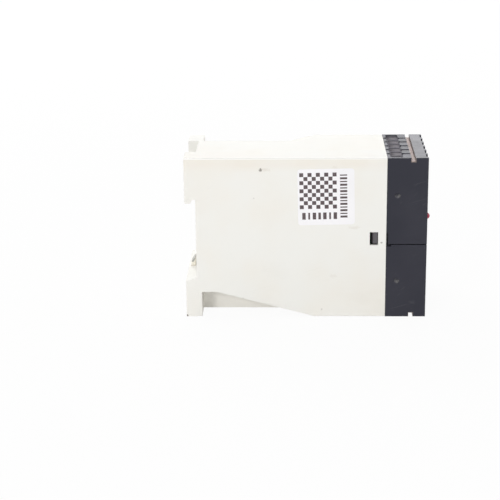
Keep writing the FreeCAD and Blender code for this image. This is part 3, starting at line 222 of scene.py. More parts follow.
class Graph:
    """A node tree under construction."""

    def __init__(self, tree):
        self.tree = tree

    def feed(self, socket, value):
        """Link a socket to an input, or set the input to a value."""
        if isinstance(value, bpy.types.NodeSocket):
            self.tree.links.new(value, socket)
        else:
            socket.default_value = value

    def add(self, kind, values=None, **settings):
        """Add a node, set it up and feed its inputs."""
        node = self.tree.nodes.new(kind)
        for name, value in settings.items():
            setattr(node, name, value)
        for socket, value in (values or {}).items():
            self.feed(node.inputs[socket], value)
        return node

    def math(self, operation, first, second=0.0, third=0.0, clamp=False):
        """Result of a math node."""
        values = {0: first, 1: second, 2: third}
        return self.add("ShaderNodeMath", values, operation=operation, use_clamp=clamp).outputs[0]

    def vector(self, operation, first, second=(0.0, 0.0, 0.0)):
        """Vector result of a vector math node."""
        return self.add("ShaderNodeVectorMath", {0: first, 1: second}, operation=operation).outputs[0]

    def distance(self, first, second):
        """Distance between two points."""
        values = {0: first, 1: second}
        return self.add("ShaderNodeVectorMath", values, operation="DISTANCE").outputs["Value"]

    def split(self, vector):
        """The three parts of a vector."""
        return self.add("ShaderNodeSeparateXYZ", {"Vector": vector}).outputs

    def noise(self, place, scale, detail=2.0):
        """Cloudy noise around a half."""
        values = {"Vector": place, "Scale": scale, "Detail": detail}
        return self.add("ShaderNodeTexNoise", values).outputs["Fac"]

    def step(self, value, start, end):
        """Soft step from 0 at the start to 1 at the end."""
        values = {"Value": value, "From Min": start, "From Max": end}
        return self.add("ShaderNodeMapRange", values, interpolation_type="SMOOTHSTEP").outputs["Result"]

    def band(self, value, low, high, soft):
        """1 between low and high, falling to 0 over a soft border."""
        rise = self.step(value, low - soft, low)
        fall = self.step(value, high, high + soft)
        return self.math("SUBTRACT", rise, fall, clamp=True)

    def both(self, first, *others):
        """1 where every mask is 1."""
        product = first
        for mask in others:
            product = self.math("MULTIPLY", product, mask)
        return product

    def mix(self, share, first, second):
        """Colour between two colours."""
        node = self.add("ShaderNodeMix", data_type="RGBA")
        for socket, value in ((0, share), (6, first), (7, second)):
            self.feed(node.inputs[socket], value)
        return node.outputs[2]

    def group(self, name, values):
        """Outputs of a shared effect."""
        node = self.add("ShaderNodeGroup", node_tree=bpy.data.node_groups[name])
        for socket, value in values.items():
            self.feed(node.inputs[socket], value)
        return node.outputs


def fresh_graph(owner):
    """Empty node tree of a new material or world."""
    owner.use_nodes = True
    owner.node_tree.nodes.clear()
    return Graph(owner.node_tree)


def new_group(name, inputs, outputs):
    """Start a shared effect: its graph, its inputs and its outputs."""
    tree = bpy.data.node_groups.new(name, "ShaderNodeTree")
    for socket, kind, default in inputs:
        made = tree.interface.new_socket(name=socket, in_out="INPUT", socket_type=f"NodeSocket{kind}")
        made.default_value = default
    for socket in outputs:
        tree.interface.new_socket(name=socket, in_out="OUTPUT", socket_type="NodeSocketFloat")
    graph = Graph(tree)
    return graph, graph.add("NodeGroupInput").outputs, graph.add("NodeGroupOutput").inputs


PLACE = ("Position", "Vector", (0.0, 0.0, 0.0))


def make_moulded_grain():
    """Fine spark-eroded grain with broad uneven tone, as on moulded plastic."""
    inputs = [PLACE, ("Size", "Float", 0.0004)]
    graph, given, result = new_group("Moulded Grain", inputs, ["Height", "Tone", "Gloss"])
    fine = graph.math("DIVIDE", 1.0, given["Size"])
    graph.feed(result["Height"], graph.noise(given["Position"], fine, 3.0))
    broad = graph.noise(given["Position"], 38.0, 3.0)
    graph.feed(result["Tone"], graph.step(broad, 0.36, 0.72))
    graph.feed(result["Gloss"], graph.noise(given["Position"], 210.0, 4.0))


def make_edge_rub():
    """Wear where two faces of a piece's box meet."""
    inputs = [
        PLACE,
        ("Low", "Vector", (0.0, 0.0, 0.0)),
        ("High", "Vector", (1.0, 1.0, 1.0)),
        ("Width", "Float", 0.0005),
    ]
    graph, given, result = new_group("Edge Rub", inputs, ["Mask"])
    above = graph.vector("SUBTRACT", given["Position"], given["Low"])
    below = graph.vector("SUBTRACT", given["High"], given["Position"])
    x, y, z = graph.split(graph.vector("MINIMUM", above, below))
    nearest = graph.math("MINIMUM", x, y)
    further = graph.math("MAXIMUM", x, y)
    second = graph.math("MAXIMUM", nearest, graph.math("MINIMUM", further, z))
    near_edge = graph.step(graph.math("DIVIDE", second, given["Width"]), 1.0, 0.1)
    patchy = graph.step(graph.noise(given["Position"], 420.0, 4.0), 0.40, 0.62)
    graph.feed(result["Mask"], graph.both(near_edge, patchy))


def make_dust_and_sheen():
    """Colour that lies thicker on faces that look up: settled dust, and on the black front a painted sheen.
    """
    inputs = [PLACE, ("Facing", "Vector", (0.0, 0.0, 1.0)), ("Amount", "Float", 0.5)]
    graph, given, result = new_group("Settled Dust", inputs, ["Mask"])
    upward = graph.step(graph.split(given["Facing"])[2], 0.15, 0.95)
    drift = graph.step(graph.noise(given["Position"], 160.0, 5.0), 0.34, 0.70)
    graph.feed(result["Mask"], graph.both(upward, drift, given["Amount"]))


def make_stain():
    """Ragged spot of a given radius round a point; the shape is below 1 along the way it is drawn out."""
    inputs = [
        PLACE,
        ("Centre", "Vector", (0.0, 0.0, 0.0)),
        ("Radius", "Float", 0.001),
        ("Shape", "Vector", (1.0, 1.0, 1.0)),
    ]
    graph, given, result = new_group("Stain", inputs, ["Mask"])
    offset = graph.vector("SUBTRACT", given["Position"], given["Centre"])
    shaped = graph.vector("MULTIPLY", offset, given["Shape"])
    scale = graph.math("DIVIDE", 1.0, given["Radius"])
    reach = graph.math("MULTIPLY", graph.distance(shaped, (0.0, 0.0, 0.0)), scale)
    ragged = graph.noise(given["Position"], graph.math("MULTIPLY", scale, 1.3), 4.0)
    torn = graph.math("SUBTRACT", ragged, 0.5)
    reach = graph.math("MULTIPLY_ADD", torn, 2.0, reach)
    graph.feed(result["Mask"], graph.step(reach, 1.0, 0.2))


def make_hairlines():
    """Sparse fine scratches in two directions."""
    inputs = [PLACE, ("Amount", "Float", 0.5)]
    graph, given, result = new_group("Hairlines", inputs, ["Mask"])
    lines = []
    for turn, stretch in ((0.35, (28.0, 28.0, 2300.0)), (-0.9, (2100.0, 2100.0, 34.0))):
        turned = graph.add(
            "ShaderNodeVectorRotate",
            {"Vector": given["Position"], "Axis": (0.35, 0.85, 0.40), "Angle": turn},
            rotation_type="AXIS_ANGLE",
        ).outputs["Vector"]
        drawn = graph.noise(graph.vector("MULTIPLY", turned, stretch), 1.0, 0.0)
        lines.append(graph.step(drawn, 0.735, 0.79))
    either = graph.math("MAXIMUM", lines[0], lines[1])
    patches = graph.step(graph.noise(given["Position"], 70.0, 2.0), 0.48, 0.66)
    graph.feed(result["Mask"], graph.both(either, patches, given["Amount"]))


def make_brushed_streaks():
    """Streaks of drawn, rolled or wound stock: stretch is large across the streaks."""
    inputs = [PLACE, ("Stretch", "Vector", (200.0, 4000.0, 4000.0))]
    graph, given, result = new_group("Brushed Streaks", inputs, ["Height", "Tone"])
    streaks = graph.noise(graph.vector("MULTIPLY", given["Position"], given["Stretch"]), 1.0, 4.0)
    graph.feed(result["Height"], streaks)
    cloud = graph.noise(given["Position"], 260.0, 3.0)
    both = graph.math("MULTIPLY_ADD", cloud, 0.6, graph.math("MULTIPLY", streaks, 0.4))
    graph.feed(result["Tone"], graph.step(both, 0.38, 0.64))


def make_stripes():
    """Even stripes along one direction: laminations, turns of wire, board traces."""
    inputs = [
        PLACE,
        ("Along", "Vector", (0.0, 1.0, 0.0)),
        ("Pitch", "Float", 0.0005),
        ("Share", "Float", 0.5),
    ]
    graph, given, result = new_group("Stripes", inputs, ["Mask", "Height"])
    weighed = graph.split(graph.vector("MULTIPLY", given["Position"], given["Along"]))
    along = graph.math("ADD", graph.math("ADD", weighed[0], weighed[1]), weighed[2])
    phase = graph.math("FRACT", graph.math("DIVIDE", along, given["Pitch"]))
    from_middle = graph.math("MULTIPLY", graph.math("ABSOLUTE", graph.math("SUBTRACT", phase, 0.5)), 2.0)
    squared = graph.math("MULTIPLY", from_middle, from_middle)
    graph.feed(result["Height"], graph.math("SUBTRACT", 1.0, squared))
    edge = graph.math("SUBTRACT", from_middle, given["Share"])
    graph.feed(result["Mask"], graph.step(edge, 0.06, -0.06))


SHARED_EFFECTS = (
    make_moulded_grain,
    make_edge_rub,
    make_dust_and_sheen,
    make_stain,
    make_hairlines,
    make_brushed_streaks,
    make_stripes,
)


class Finish:
    """A material under construction: a ground colour that marks are laid over, a sheen and a relief."""

    def __init__(self, name, colour, roughness, **sockets):
        self.material = bpy.data.materials.new(name)
        self.graph = fresh_graph(self.material)
        self.shader = self.graph.add("ShaderNodeBsdfPrincipled")
        for socket, value in sockets.items():
            self.shader.inputs[socket.replace("_", " ")].default_value = value
        self.graph.add("ShaderNodeOutputMaterial", {"Surface": self.shader.outputs["BSDF"]})
        source = self.graph.add("ShaderNodeTexCoord")
        self.place = source.outputs["Object"]
        self.facing = source.outputs["Normal"]
        self.colour = opaque(colour)
        self.roughness = roughness
        self.relief = None
        self.depth = 0.0

    def effect(self, name, **values):
        """Outputs of a shared effect at this surface."""
        return self.graph.group(name, {"Position": self.place, **values})

    def lay(self, mask, colour, strength=1.0):
        """Lay a colour over the ground where a mask is 1."""
        share = self.graph.math("MULTIPLY", mask, strength, clamp=True)
        self.colour = self.graph.mix(share, self.colour, opaque(colour))

    def vary_sheen(self, value, spread):
        """Move the roughness by up to a spread as a value goes from 0 to 1."""
        self.roughness = self.graph.math(
            "MULTIPLY_ADD", self.graph.math("SUBTRACT", value, 0.5), spread * 2.0, self.roughness
        )

    def dull(self, mask, roughness):
        """Bring the roughness to a value where a mask is 1."""
        rougher = self.graph.math("SUBTRACT", roughness, self.roughness)
        self.roughness = self.graph.math("MULTIPLY_ADD", mask, rougher, self.roughness)

    def emboss(self, height, depth):
        """Raise the surface by a height that goes from 0 to 1."""
        self.relief = height
        self.depth = depth

    def close(self):
        """Feed the shader and return the material."""
        self.graph.feed(self.shader.inputs["Base Color"], self.colour)
        self.graph.feed(self.shader.inputs["Roughness"], self.roughness)
        if self.relief is not None:
            bump = self.graph.add("ShaderNodeBump", {"Height": self.relief, "Distance": self.depth})
            bump.inputs["Strength"].default_value = 1.0
            self.graph.feed(self.shader.inputs["Normal"], bump.outputs["Normal"])
        return self.material


def moulded(name, colour, aged, roughness, grain, depth, **sockets):
    """Start a moulded plastic finish with grain, uneven tone and sheen."""
    finish = Finish(name, colour, roughness, **sockets)
    texture = finish.effect("Moulded Grain", Size=grain)
    finish.lay(texture["Tone"], aged, 0.5)
    finish.vary_sheen(texture["Gloss"], 0.07)
    finish.emboss(texture["Height"], depth)
    return finish


def rub_edges(finish, node, colour, width, strength, where=1.0):
    """Rub the outer edges of a piece, as far as a mask allows."""
    low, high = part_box(node)
    rub = finish.effect("Edge Rub", Low=tuple(low), High=tuple(high), Width=width)
    finish.lay(finish.graph.both(rub["Mask"], where), colour, strength)


def settle_dust_and_sheen(finish, colour, amount):
    """Let dust lie on the faces that look up; on the black front the same mask lays a painted sheen."""
    dust = finish.effect("Settled Dust", Facing=finish.facing, Amount=amount)
    finish.lay(dust["Mask"], colour)


def metal(name, colour, tarnish, roughness, stretch, depth=0.004 * MM):
    """Drawn or plated metal with streaks and a little tarnish."""
    finish = Finish(name, colour, roughness, Metallic=1.0)
    streaks = finish.effect("Brushed Streaks", Stretch=stretch)
    finish.lay(streaks["Tone"], tarnish, 0.6)
    finish.vary_sheen(streaks["Tone"], 0.10)
    finish.emboss(streaks["Height"], depth)
    return finish.close()


# Meshes

def dress(material, *nodes):
    """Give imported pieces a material."""
    for node in nodes:
        mesh = frame["nodes"][node].data
        mesh.materials.clear()
        mesh.materials.append(material)


def new_object(name, shape, materials):
    """Make an object of a bmesh."""
    mesh = bpy.data.meshes.new(name)
    shape.to_mesh(mesh)
    shape.free()
    for material in materials:
        mesh.materials.append(material)
    made = bpy.data.objects.new(name, mesh)
    bpy.context.scene.collection.objects.link(made)
    return made


def new_piece(name, shape, materials, body):
    """Make an object of a bmesh that moves with a body."""
    piece = new_object(name, shape, materials)
    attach(piece, body)
    return piece


def dress_moulded(nodes, name, colour, aged, roughness, grain, depth, rub=None, **sockets):
    """Give pieces a moulded finish, with the edges of the first rubbed to a colour, width and strength."""
    finish = moulded(name, colour, aged, roughness, grain, depth, **sockets)
    if rub is not None:
        rub_edges(finish, nodes[0], *rub)
    dress(finish.close(), *nodes)


def soften(node, name, width, material, sharp=math.radians(28)):
    """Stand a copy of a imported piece, with its moulded edges rounded, in its place."""
    shape = bmesh.new()
    shape.from_mesh(frame["nodes"][node].data)
    bmesh.ops.remove_doubles(shape, verts=shape.verts, dist=2e-6)
    bmesh.ops.dissolve_limit(shape, angle_limit=math.radians(0.4), verts=shape.verts, edges=shape.edges)
    edges = [edge for edge in shape.edges if edge.is_manifold and edge.calc_face_angle() > sharp]
    bmesh.ops.bevel(
        shape, geom=edges, offset=width, offset_type="OFFSET", segments=2, profile=0.5,
        affect="EDGES", clamp_overlap=True,
    )
    for face in shape.faces:
        face.smooth = True
        face.material_index = 0
    piece = new_piece(name, shape, [material], NODE_BODY[node])
    piece.modifiers.new("Flat faces stay flat", "WEIGHTED_NORMAL").keep_sharp = True
    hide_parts(node)
    return piece


def lathe(shape, profile, centre, steps=40):
    """Turn a profile of (along, radius) about an axis along X through a centre."""
    rings = []
    for along, radius in profile:
        if radius == 0.0:
            rings.append([shape.verts.new((along, centre[1], centre[2]))])
            continue
        ring = []
        for step in range(steps):
            angle = 2.0 * math.pi * step / steps
            across = centre[1] + radius * math.cos(angle)
            ring.append(shape.verts.new((along, across, centre[2] + radius * math.sin(angle))))
        rings.append(ring)
    for first, second in zip(rings, rings[1:]):
        for step in range(steps):
            following = (step + 1) % steps
            corners = [first[step % len(first)], first[following % len(first)]]
            corners += [second[following % len(second)], second[step % len(second)]]
            face = shape.faces.new(list(dict.fromkeys(corners)))
            face.smooth = True


def slab(shape, outline, place, low, high, material=0):
    """Closed plate between two heights over an outline of (u, v) points."""
    floor = [shape.verts.new(place(u, v, low)) for u, v in outline]
    roof = [shape.verts.new(place(u, v, high)) for u, v in outline]
    faces = [shape.faces.new(roof), shape.faces.new(floor[::-1])]
    count = len(outline)
    for index in range(count):
        after = (index + 1) % count
        faces.append(shape.faces.new((floor[index], floor[after], roof[after], roof[index])))
    for face in faces:
        face.material_index = material


def rounded_rectangle(width, height, radius, steps=8):
    """Outline of a rectangle with round corners."""
    outline = []
    for quarter, (side, end) in enumerate(((1, 1), (-1, 1), (-1, -1), (1, -1))):
        for step in range(steps + 1):
            angle = math.pi / 2.0 * (quarter + step / steps)
            u = side * (width / 2.0 - radius) + radius * math.cos(angle)
            v = end * (height / 2.0 - radius) + radius * math.sin(angle)
            outline.append((u, v))
    return outline


def oblong(u, v, width, height):
    """Outline of a plain rectangle round a middle."""
    left, right = u - width / 2.0, u + width / 2.0
    low, high = v - height / 2.0, v + height / 2.0
    return [(left, low), (right, low), (right, high), (left, high)]


# Case

# Where the case has changed its tone: starts and ends of soft borders, below its top, in from its sides
# or above the floor
YELLOWED_BELOW_TOP = (7.5 * MM, 2.0 * MM)
# A painted highlight on the sides just below the top, along the top edge
PAINTED_HIGHLIGHT_BELOW_TOP = (0.7 * MM, 0.4 * MM)
OUTER_SKIN = (1.0 * MM, 0.3 * MM)
YELLOWED_LOW = (26.0 * MM, 2.0 * MM)
# The recess low on the near side, along the depth of the case and up from the floor
RECESS_ALONG = (-47.9 * MM, -14.0 * MM)
RECESS_ROOF = (12.0 * MM, 9.0 * MM)
SMEAR_BROWN = (0.42, 0.33, 0.22)
SCRATCHED_CREAM = (0.70, 0.67, 0.61)
# Specks of the near side: across and up in mm, radius in mm, strength
CASE_SPECKS = (
    (-21.3, 68.0, 0.85, 0.80),
    (-24.3, 55.1, 0.50, 0.22),
    (32.0, 34.7, 0.60, 0.60),
    (-29.6, 8.3, 0.80, 0.30),
    (5.7, 3.4, 0.60, 0.35),
    (-54.7, 0.5, 0.70, 0.90),
)
# Brownish smears of the near side, in the same way, and how they are drawn out
CASE_SMEARS = (
    (-19.2, 68.0, 1.3, 0.18, (0.5, 1.0, 1.2)),
    (20.0, 41.7, 1.3, 0.14, (0.35, 1.0, 1.3)),
    (11.1, 19.1, 1.3, 0.10, (0.6, 1.0, 1.0)),
    (11.2, 69.0, 1.0, 0.10, (0.7, 1.0, 1.0)),
    (-14.0, 21.0, 4.5, 0.025, (0.6, 1.0, 0.8)),
    (24.0, 9.0, 5.0, 0.03, (0.5, 1.0, 1.0)),
)


def case_finish(values):
    """Cream satin plastic, yellowed along the top and low at the front, with specks and dust, a painted
    highlight along the top edge of the sides and painted shade inside the near recess.
    """
    finish = moulded(
        "case_cream", values.colour, values.aged, values.roughness, values.grain, 0.012 * MM,
        Specular_IOR_Level=0.4,
    )
    graph = finish.graph
    low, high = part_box("housing")
    x, y, z = graph.split(finish.place)
    cloud = graph.noise(finish.place, 55.0, 4.0)
    skin_start, skin_end = (high[1] - inset for inset in OUTER_SKIN)
    outward = graph.step(graph.math("ABSOLUTE", y), skin_start, skin_end)
    yellowed = graph.step(z, *(high[2] - drop for drop in YELLOWED_BELOW_TOP))
    finish.lay(graph.both(yellowed, outward, cloud), values.aged, 1.7)
    # Painted highlight: a pale band on the sides just below the top edge
    top_edge_highlight = graph.step(z, *(high[2] - drop for drop in PAINTED_HIGHLIGHT_BELOW_TOP))
    finish.lay(graph.both(top_edge_highlight, outward), values.rubbed, 0.9)
    low_front = graph.both(graph.step(x, 0.0, high[0]), graph.step(z, *YELLOWED_LOW))
    finish.lay(graph.both(low_front, cloud), values.aged, 0.45)
    # Painted shade: the inner faces of the near recess get the darker, warmer aged cream
    under = graph.both(graph.band(x, *RECESS_ALONG, 0.5 * MM), graph.step(z, *RECESS_ROOF))
    inward = graph.step(y, low[1] + OUTER_SKIN[1], low[1] + OUTER_SKIN[0])
    finish.lay(graph.both(under, inward), values.aged, 0.45)
    for across, up, radius, strength, drawn in CASE_SMEARS:
        centre = (across * MM, low[1], up * MM)
        smear = finish.effect("Stain", Centre=centre, Radius=radius * MM, Shape=drawn)
        finish.lay(smear["Mask"], SMEAR_BROWN, strength)
    for across, up, radius, strength in CASE_SPECKS:
        centre = (across * MM, low[1], up * MM)
        speck = finish.effect("Stain", Centre=centre, Radius=radius * MM)
        finish.lay(speck["Mask"], values.grime, strength)
    scratches = finish.effect("Hairlines", Amount=0.35)
    finish.lay(scratches["Mask"], SCRATCHED_CREAM, 0.3)
    settle_dust_and_sheen(finish, values.dust, 0.05)
    return finish.close()


class LEVELRELAY_OT_case(bpy.types.Operator):
    """Stand the case with rounded edges in its place and give it its cream finish"""

    bl_idname = "level_relay.case"
    bl_label = "Case"

    def execute(self, context):
        values = context.scene.level_relay.case
        soften("housing", "case_moulding", values.edge, case_finish(values))
        return {"FINISHED"}


# Terminal front

# Places on both terminal blocks along the depth of the case
WIRE_FIELD = (35.3 * MM, 41.0 * MM)
TERMINAL_PLATES = (33.0 * MM, 44.2 * MM)
MARKER_GROOVE = (44.3 * MM, 46.6 * MM)
TONGUE_END = (33.6 * MM, 33.4 * MM)
DIMPLE_ALONG = 38.8 * MM
# Depths below the outer edge of a block, with the starts and ends of soft borders
PLATE_FACES = (0.5 * MM, 0.4 * MM)
ENTRY_DUST = (0.5 * MM, 5.0 * MM)
ENTRY_WALLS_PAINTED_LIGHTER = (1.0 * MM, 1.6 * MM)
GROOVE_WALLS = (0.1 * MM, 2.0 * MM)
CLEAR_OF_SEAM = (26.0 * MM, 20.0 * MM)
DIMPLE_DEPTH = 17.0 * MM
# How far the wire field stays clear of the sides, and the width of a crisp border
FIELD_INSET = 1.0 * MM
CRISP = 0.05 * MM
# The scuff of the near side
SCUFF_ALONG = 45.9 * MM
SCUFF_UP = 6.7 * MM
# Tones of the marker strip
STRIP_STREAKS = (0.50, 0.40, 0.36)
STRIP_CUT_END = (0.42, 0.33, 0.30)
STRIP_DIRT = (0.17, 0.13, 0.11)


def front_finish(values, name, node, edge_up):
    """Black plastic for one block: grey rubbed edges, dusty wire entries whose deeper walls are painted
    lighter against their shade, painted light on the shaded walls of the marker grooves, a painted highlight
    in the side dimples and a painted bluish sheen on the faces that look up.
    """
    finish = moulded(
        name, values.colour, values.aged, values.roughness, values.grain, 0.010 * MM,
        Specular_IOR_Level=0.42, Specular_Tint=(0.95, 0.94, 1.0, 1.0),
    )
    graph = finish.graph
    low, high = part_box(node)
    x, y, z = graph.split(finish.place)
    edge, inward = (high[2], -1.0) if edge_up else (low[2], 1.0)
    depth = graph.math("MULTIPLY", graph.math("SUBTRACT", z, edge), inward)
    within = graph.band(graph.math("ABSOLUTE", y), 0.0, high[1] - FIELD_INSET, CRISP)
    field = graph.both(graph.band(x, *WIRE_FIELD, CRISP), within)
    dusty = graph.both(field, graph.band(depth, *ENTRY_DUST, 0.3 * MM))
    cloud = graph.step(graph.noise(finish.place, 520.0, 4.0), 0.05, 0.55)
    finish.lay(graph.both(dusty, cloud), values.field, 0.95)
    # Painted light: the entry walls turn paler deeper down, against the shade in the holes, over the dust
    finish.lay(graph.both(dusty, graph.step(depth, *ENTRY_WALLS_PAINTED_LIGHTER)), values.entry_dust_and_painted_light, 0.95)
    level = graph.step(depth, *PLATE_FACES)
    finish.dull(graph.both(graph.band(x, *TERMINAL_PLATES, CRISP), level), 0.48)
    finish.dull(dusty, 1.0)
    # Painted light on the shaded walls of the marker grooves
    sunk = graph.band(depth, *GROOVE_WALLS, 0.1 * MM)
    finish.lay(graph.both(graph.band(x, *MARKER_GROOVE, CRISP), sunk), values.groove_wall_painted_light, 0.9)
    finish.lay(graph.step(x, *TONGUE_END), values.tongue, 0.9)
    # Painted highlight: a grey patch a little below each dimple's middle, on its lit lower half
    for side in (low[1], high[1]):
        lit = (DIMPLE_ALONG, side, edge + inward * DIMPLE_DEPTH - 0.2 * MM)
        dimple_highlight = finish.effect("Stain", Centre=lit, Radius=1.1 * MM, Shape=(0.7, 1.0, 1.0))
        finish.lay(dimple_highlight["Mask"], values.dimple, 0.7)
    scuffed = (SCUFF_ALONG, low[1], SCUFF_UP)
    scuff = finish.effect("Stain", Centre=scuffed, Radius=1.4 * MM, Shape=(0.7, 1.0, 1.2))
    finish.lay(scuff["Mask"], values.rubbed, 0.12)
    scratches = finish.effect("Hairlines", Amount=0.5)
    finish.lay(scratches["Mask"], values.rubbed, 0.25)
    rub_edges(finish, node, values.rubbed, 0.5 * MM, 0.6, graph.step(depth, *CLEAR_OF_SEAM))
    # Painted sheen: a bluish tint on the faces that look up, for the tint of their reflection
    settle_dust_and_sheen(finish, values.upward_painted_sheen, 0.28)
    return finish.close()


def marker_finish(values):
    """Matt beige strip with drawn streaks and dirt along its edges."""
    finish = Finish("marker_beige", values.strip, 0.6)
    streaks = finish.effect("Brushed Streaks", Stretch=(3000.0, 160.0, 3000.0))
    finish.lay(streaks["Tone"], STRIP_STREAKS, 0.5)
    finish.emboss(streaks["Height"], 0.01 * MM)
    sideways = finish.graph.math("ABSOLUTE", finish.graph.split(finish.facing)[1])
    finish.lay(finish.graph.step(sideways, 0.5, 0.9), STRIP_CUT_END, 0.9)
    rub_edges(finish, "marker_strip", STRIP_DIRT, 0.35 * MM, 0.6)
    return finish.close()


class LEVELRELAY_OT_front(bpy.types.Operator):
    """Stand both black terminal blocks with rounded edges in their places and finish the marker strip"""

    bl_idname = "level_relay.front"
    bl_label = "Terminal Front"

    def execute(self, context):
        values = context.scene.level_relay.front
        upper = front_finish(values, "upper_front_black", "upper_terminal_block", True)
        lower = front_finish(values, "lower_front_black", "lower_terminal_block", False)
        soften("upper_terminal_block", "upper_front_moulding", values.edge, upper)
        soften("lower_terminal_block", "lower_front_moulding", values.edge, lower)
        dress(marker_finish(values), "marker_strip")
        return {"FINISHED"}


def screw_finish():
    """Zinc plated steel, turned on its face and darker deeper in the slot."""
    finish = Finish("screw_zinc", (0.62, 0.61, 0.57), 0.34, Metallic=1.0)
    turned = finish.effect("Brushed Streaks", Stretch=(300.0, 900.0, 5200.0))
    finish.lay(turned["Tone"], (0.44, 0.42, 0.37), 0.5)
    finish.vary_sheen(turned["Tone"], 0.08)
    finish.emboss(turned["Height"], 0.002 * MM)
    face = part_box("terminal_screw_01")[1][0]
    behind = finish.graph.math("SUBTRACT", face, finish.graph.split(finish.place)[0])
    slot = finish.graph.step(behind, 0.30 * MM, 0.55 * MM)
    finish.lay(slot, (0.085, 0.08, 0.07), 0.85)
    finish.dull(slot, 0.6)
    return finish.close()


class LEVELRELAY_OT_terminals(bpy.types.Operator):
    """Finish the terminal screws, clamping yokes and contact bars"""

    bl_idname = "level_relay.terminals"
    bl_label = "Terminals"

    def execute(self, context):
        screw = screw_finish()
        yoke = metal("yoke_zinc", (0.58, 0.58, 0.56), (0.36, 0.34, 0.30), 0.40, (2400.0, 2400.0, 240.0))
        bar = metal("contact_brass", (0.74, 0.60, 0.34), (0.50, 0.37, 0.18), 0.36, (240.0, 2400.0, 2400.0))
        dress(screw, *(f"terminal_screw_{number:02d}" for number in TERMINALS))
        dress(yoke, *(f"terminal_clamp_{number:02d}" for number in TERMINALS))
        dress(bar, "upper_contact_bars", "lower_contact_bars")
        return {"FINISHED"}


# Rail latch

# The lead-in of the latch's nose runs this far forward while it rises
LATCH_NOSE_SLOPE = Vector((1.5 * MM, 0.0, 2.2 * MM))


class LEVELRELAY_OT_latch(bpy.types.Operator):
    """Stand the rail latch with rounded edges in its place, and the spring that it presses together"""

    bl_idname = "level_relay.latch"
    bl_label = "Rail Latch"

    def execute(self, context):
        values = context.scene.level_relay.front
        finish = moulded(
            "latch_cream", values.latch, (0.89, 0.82, 0.69), 0.48, 0.3 * MM, 0.01 * MM,
            Specular_IOR_Level=0.42,
        )
        graph = finish.graph
        rear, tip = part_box("din_latch")[0][0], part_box("din_latch")[1][2]
        slope = LATCH_NOSE_SLOPE
        across = tuple(Vector((slope.z, 0.0, -slope.x)).normalized())
        start = (rear, 0.0, tip - slope.z)
        below = graph.vector("MULTIPLY", graph.vector("SUBTRACT", finish.place, start), across)
        parts = graph.split(below)
        under = graph.math("ADD", parts[0], parts[2])
        # Grey laid on the slanted lead-in of the nose, broken by streaks
        nose = graph.step(graph.split(finish.place)[2], start[2] - 0.2 * MM, start[2] + 0.2 * MM)
        lead_in = graph.both(nose, graph.step(under, 0.9 * MM, 0.6 * MM))
        streaks = finish.effect("Brushed Streaks", Stretch=(300.0, 2400.0, 300.0))
        mottled = graph.both(lead_in, graph.step(streaks["Height"], 0.15, 0.5))
        finish.lay(mottled, values.lead_in, 0.95)
        scratches = finish.effect("Hairlines", Amount=0.9)
        finish.lay(scratches["Mask"], (0.50, 0.46, 0.38), 0.5)
        rub_edges(finish, "din_latch", (0.80, 0.77, 0.68), 0.5 * MM, 0.5)
        settle_dust_and_sheen(finish, (0.74, 0.71, 0.64), 0.3)
        soften("din_latch", "latch_moulding", 0.15 * MM, finish.close())
        spring = metal("spring_steel", (0.55, 0.55, 0.56), (0.30, 0.28, 0.25), 0.32, (2600.0, 200.0, 2600.0))
        strip = soften("latch_spring", "latch_spring_strip", 0.05 * MM, spring)
        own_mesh(strip)
        return {"FINISHED"}


# Lamp and adjuster

LENS_CHAMFER = 0.1 * MM
DOME_STEPS = 12
# The small cup inside the lens: floor and rim in front of the back of the lens, depth, and radii
CUP_FLOOR = 0.3 * MM
CUP_RIM = 2.6 * MM
CUP_DEPTH = 0.5 * MM
CUP_FOOT_RADIUS = 0.55 * MM
CUP_RIM_RADIUS = 0.75 * MM
CUP_MOUTH_RADIUS = 0.62 * MM
CUP_WELL_RADIUS = 0.25 * MM
# The print of the dial reaches into the front wall and stands out of it
DIAL_PRINT_HEIGHTS = (-0.02 * MM, 0.03 * MM)


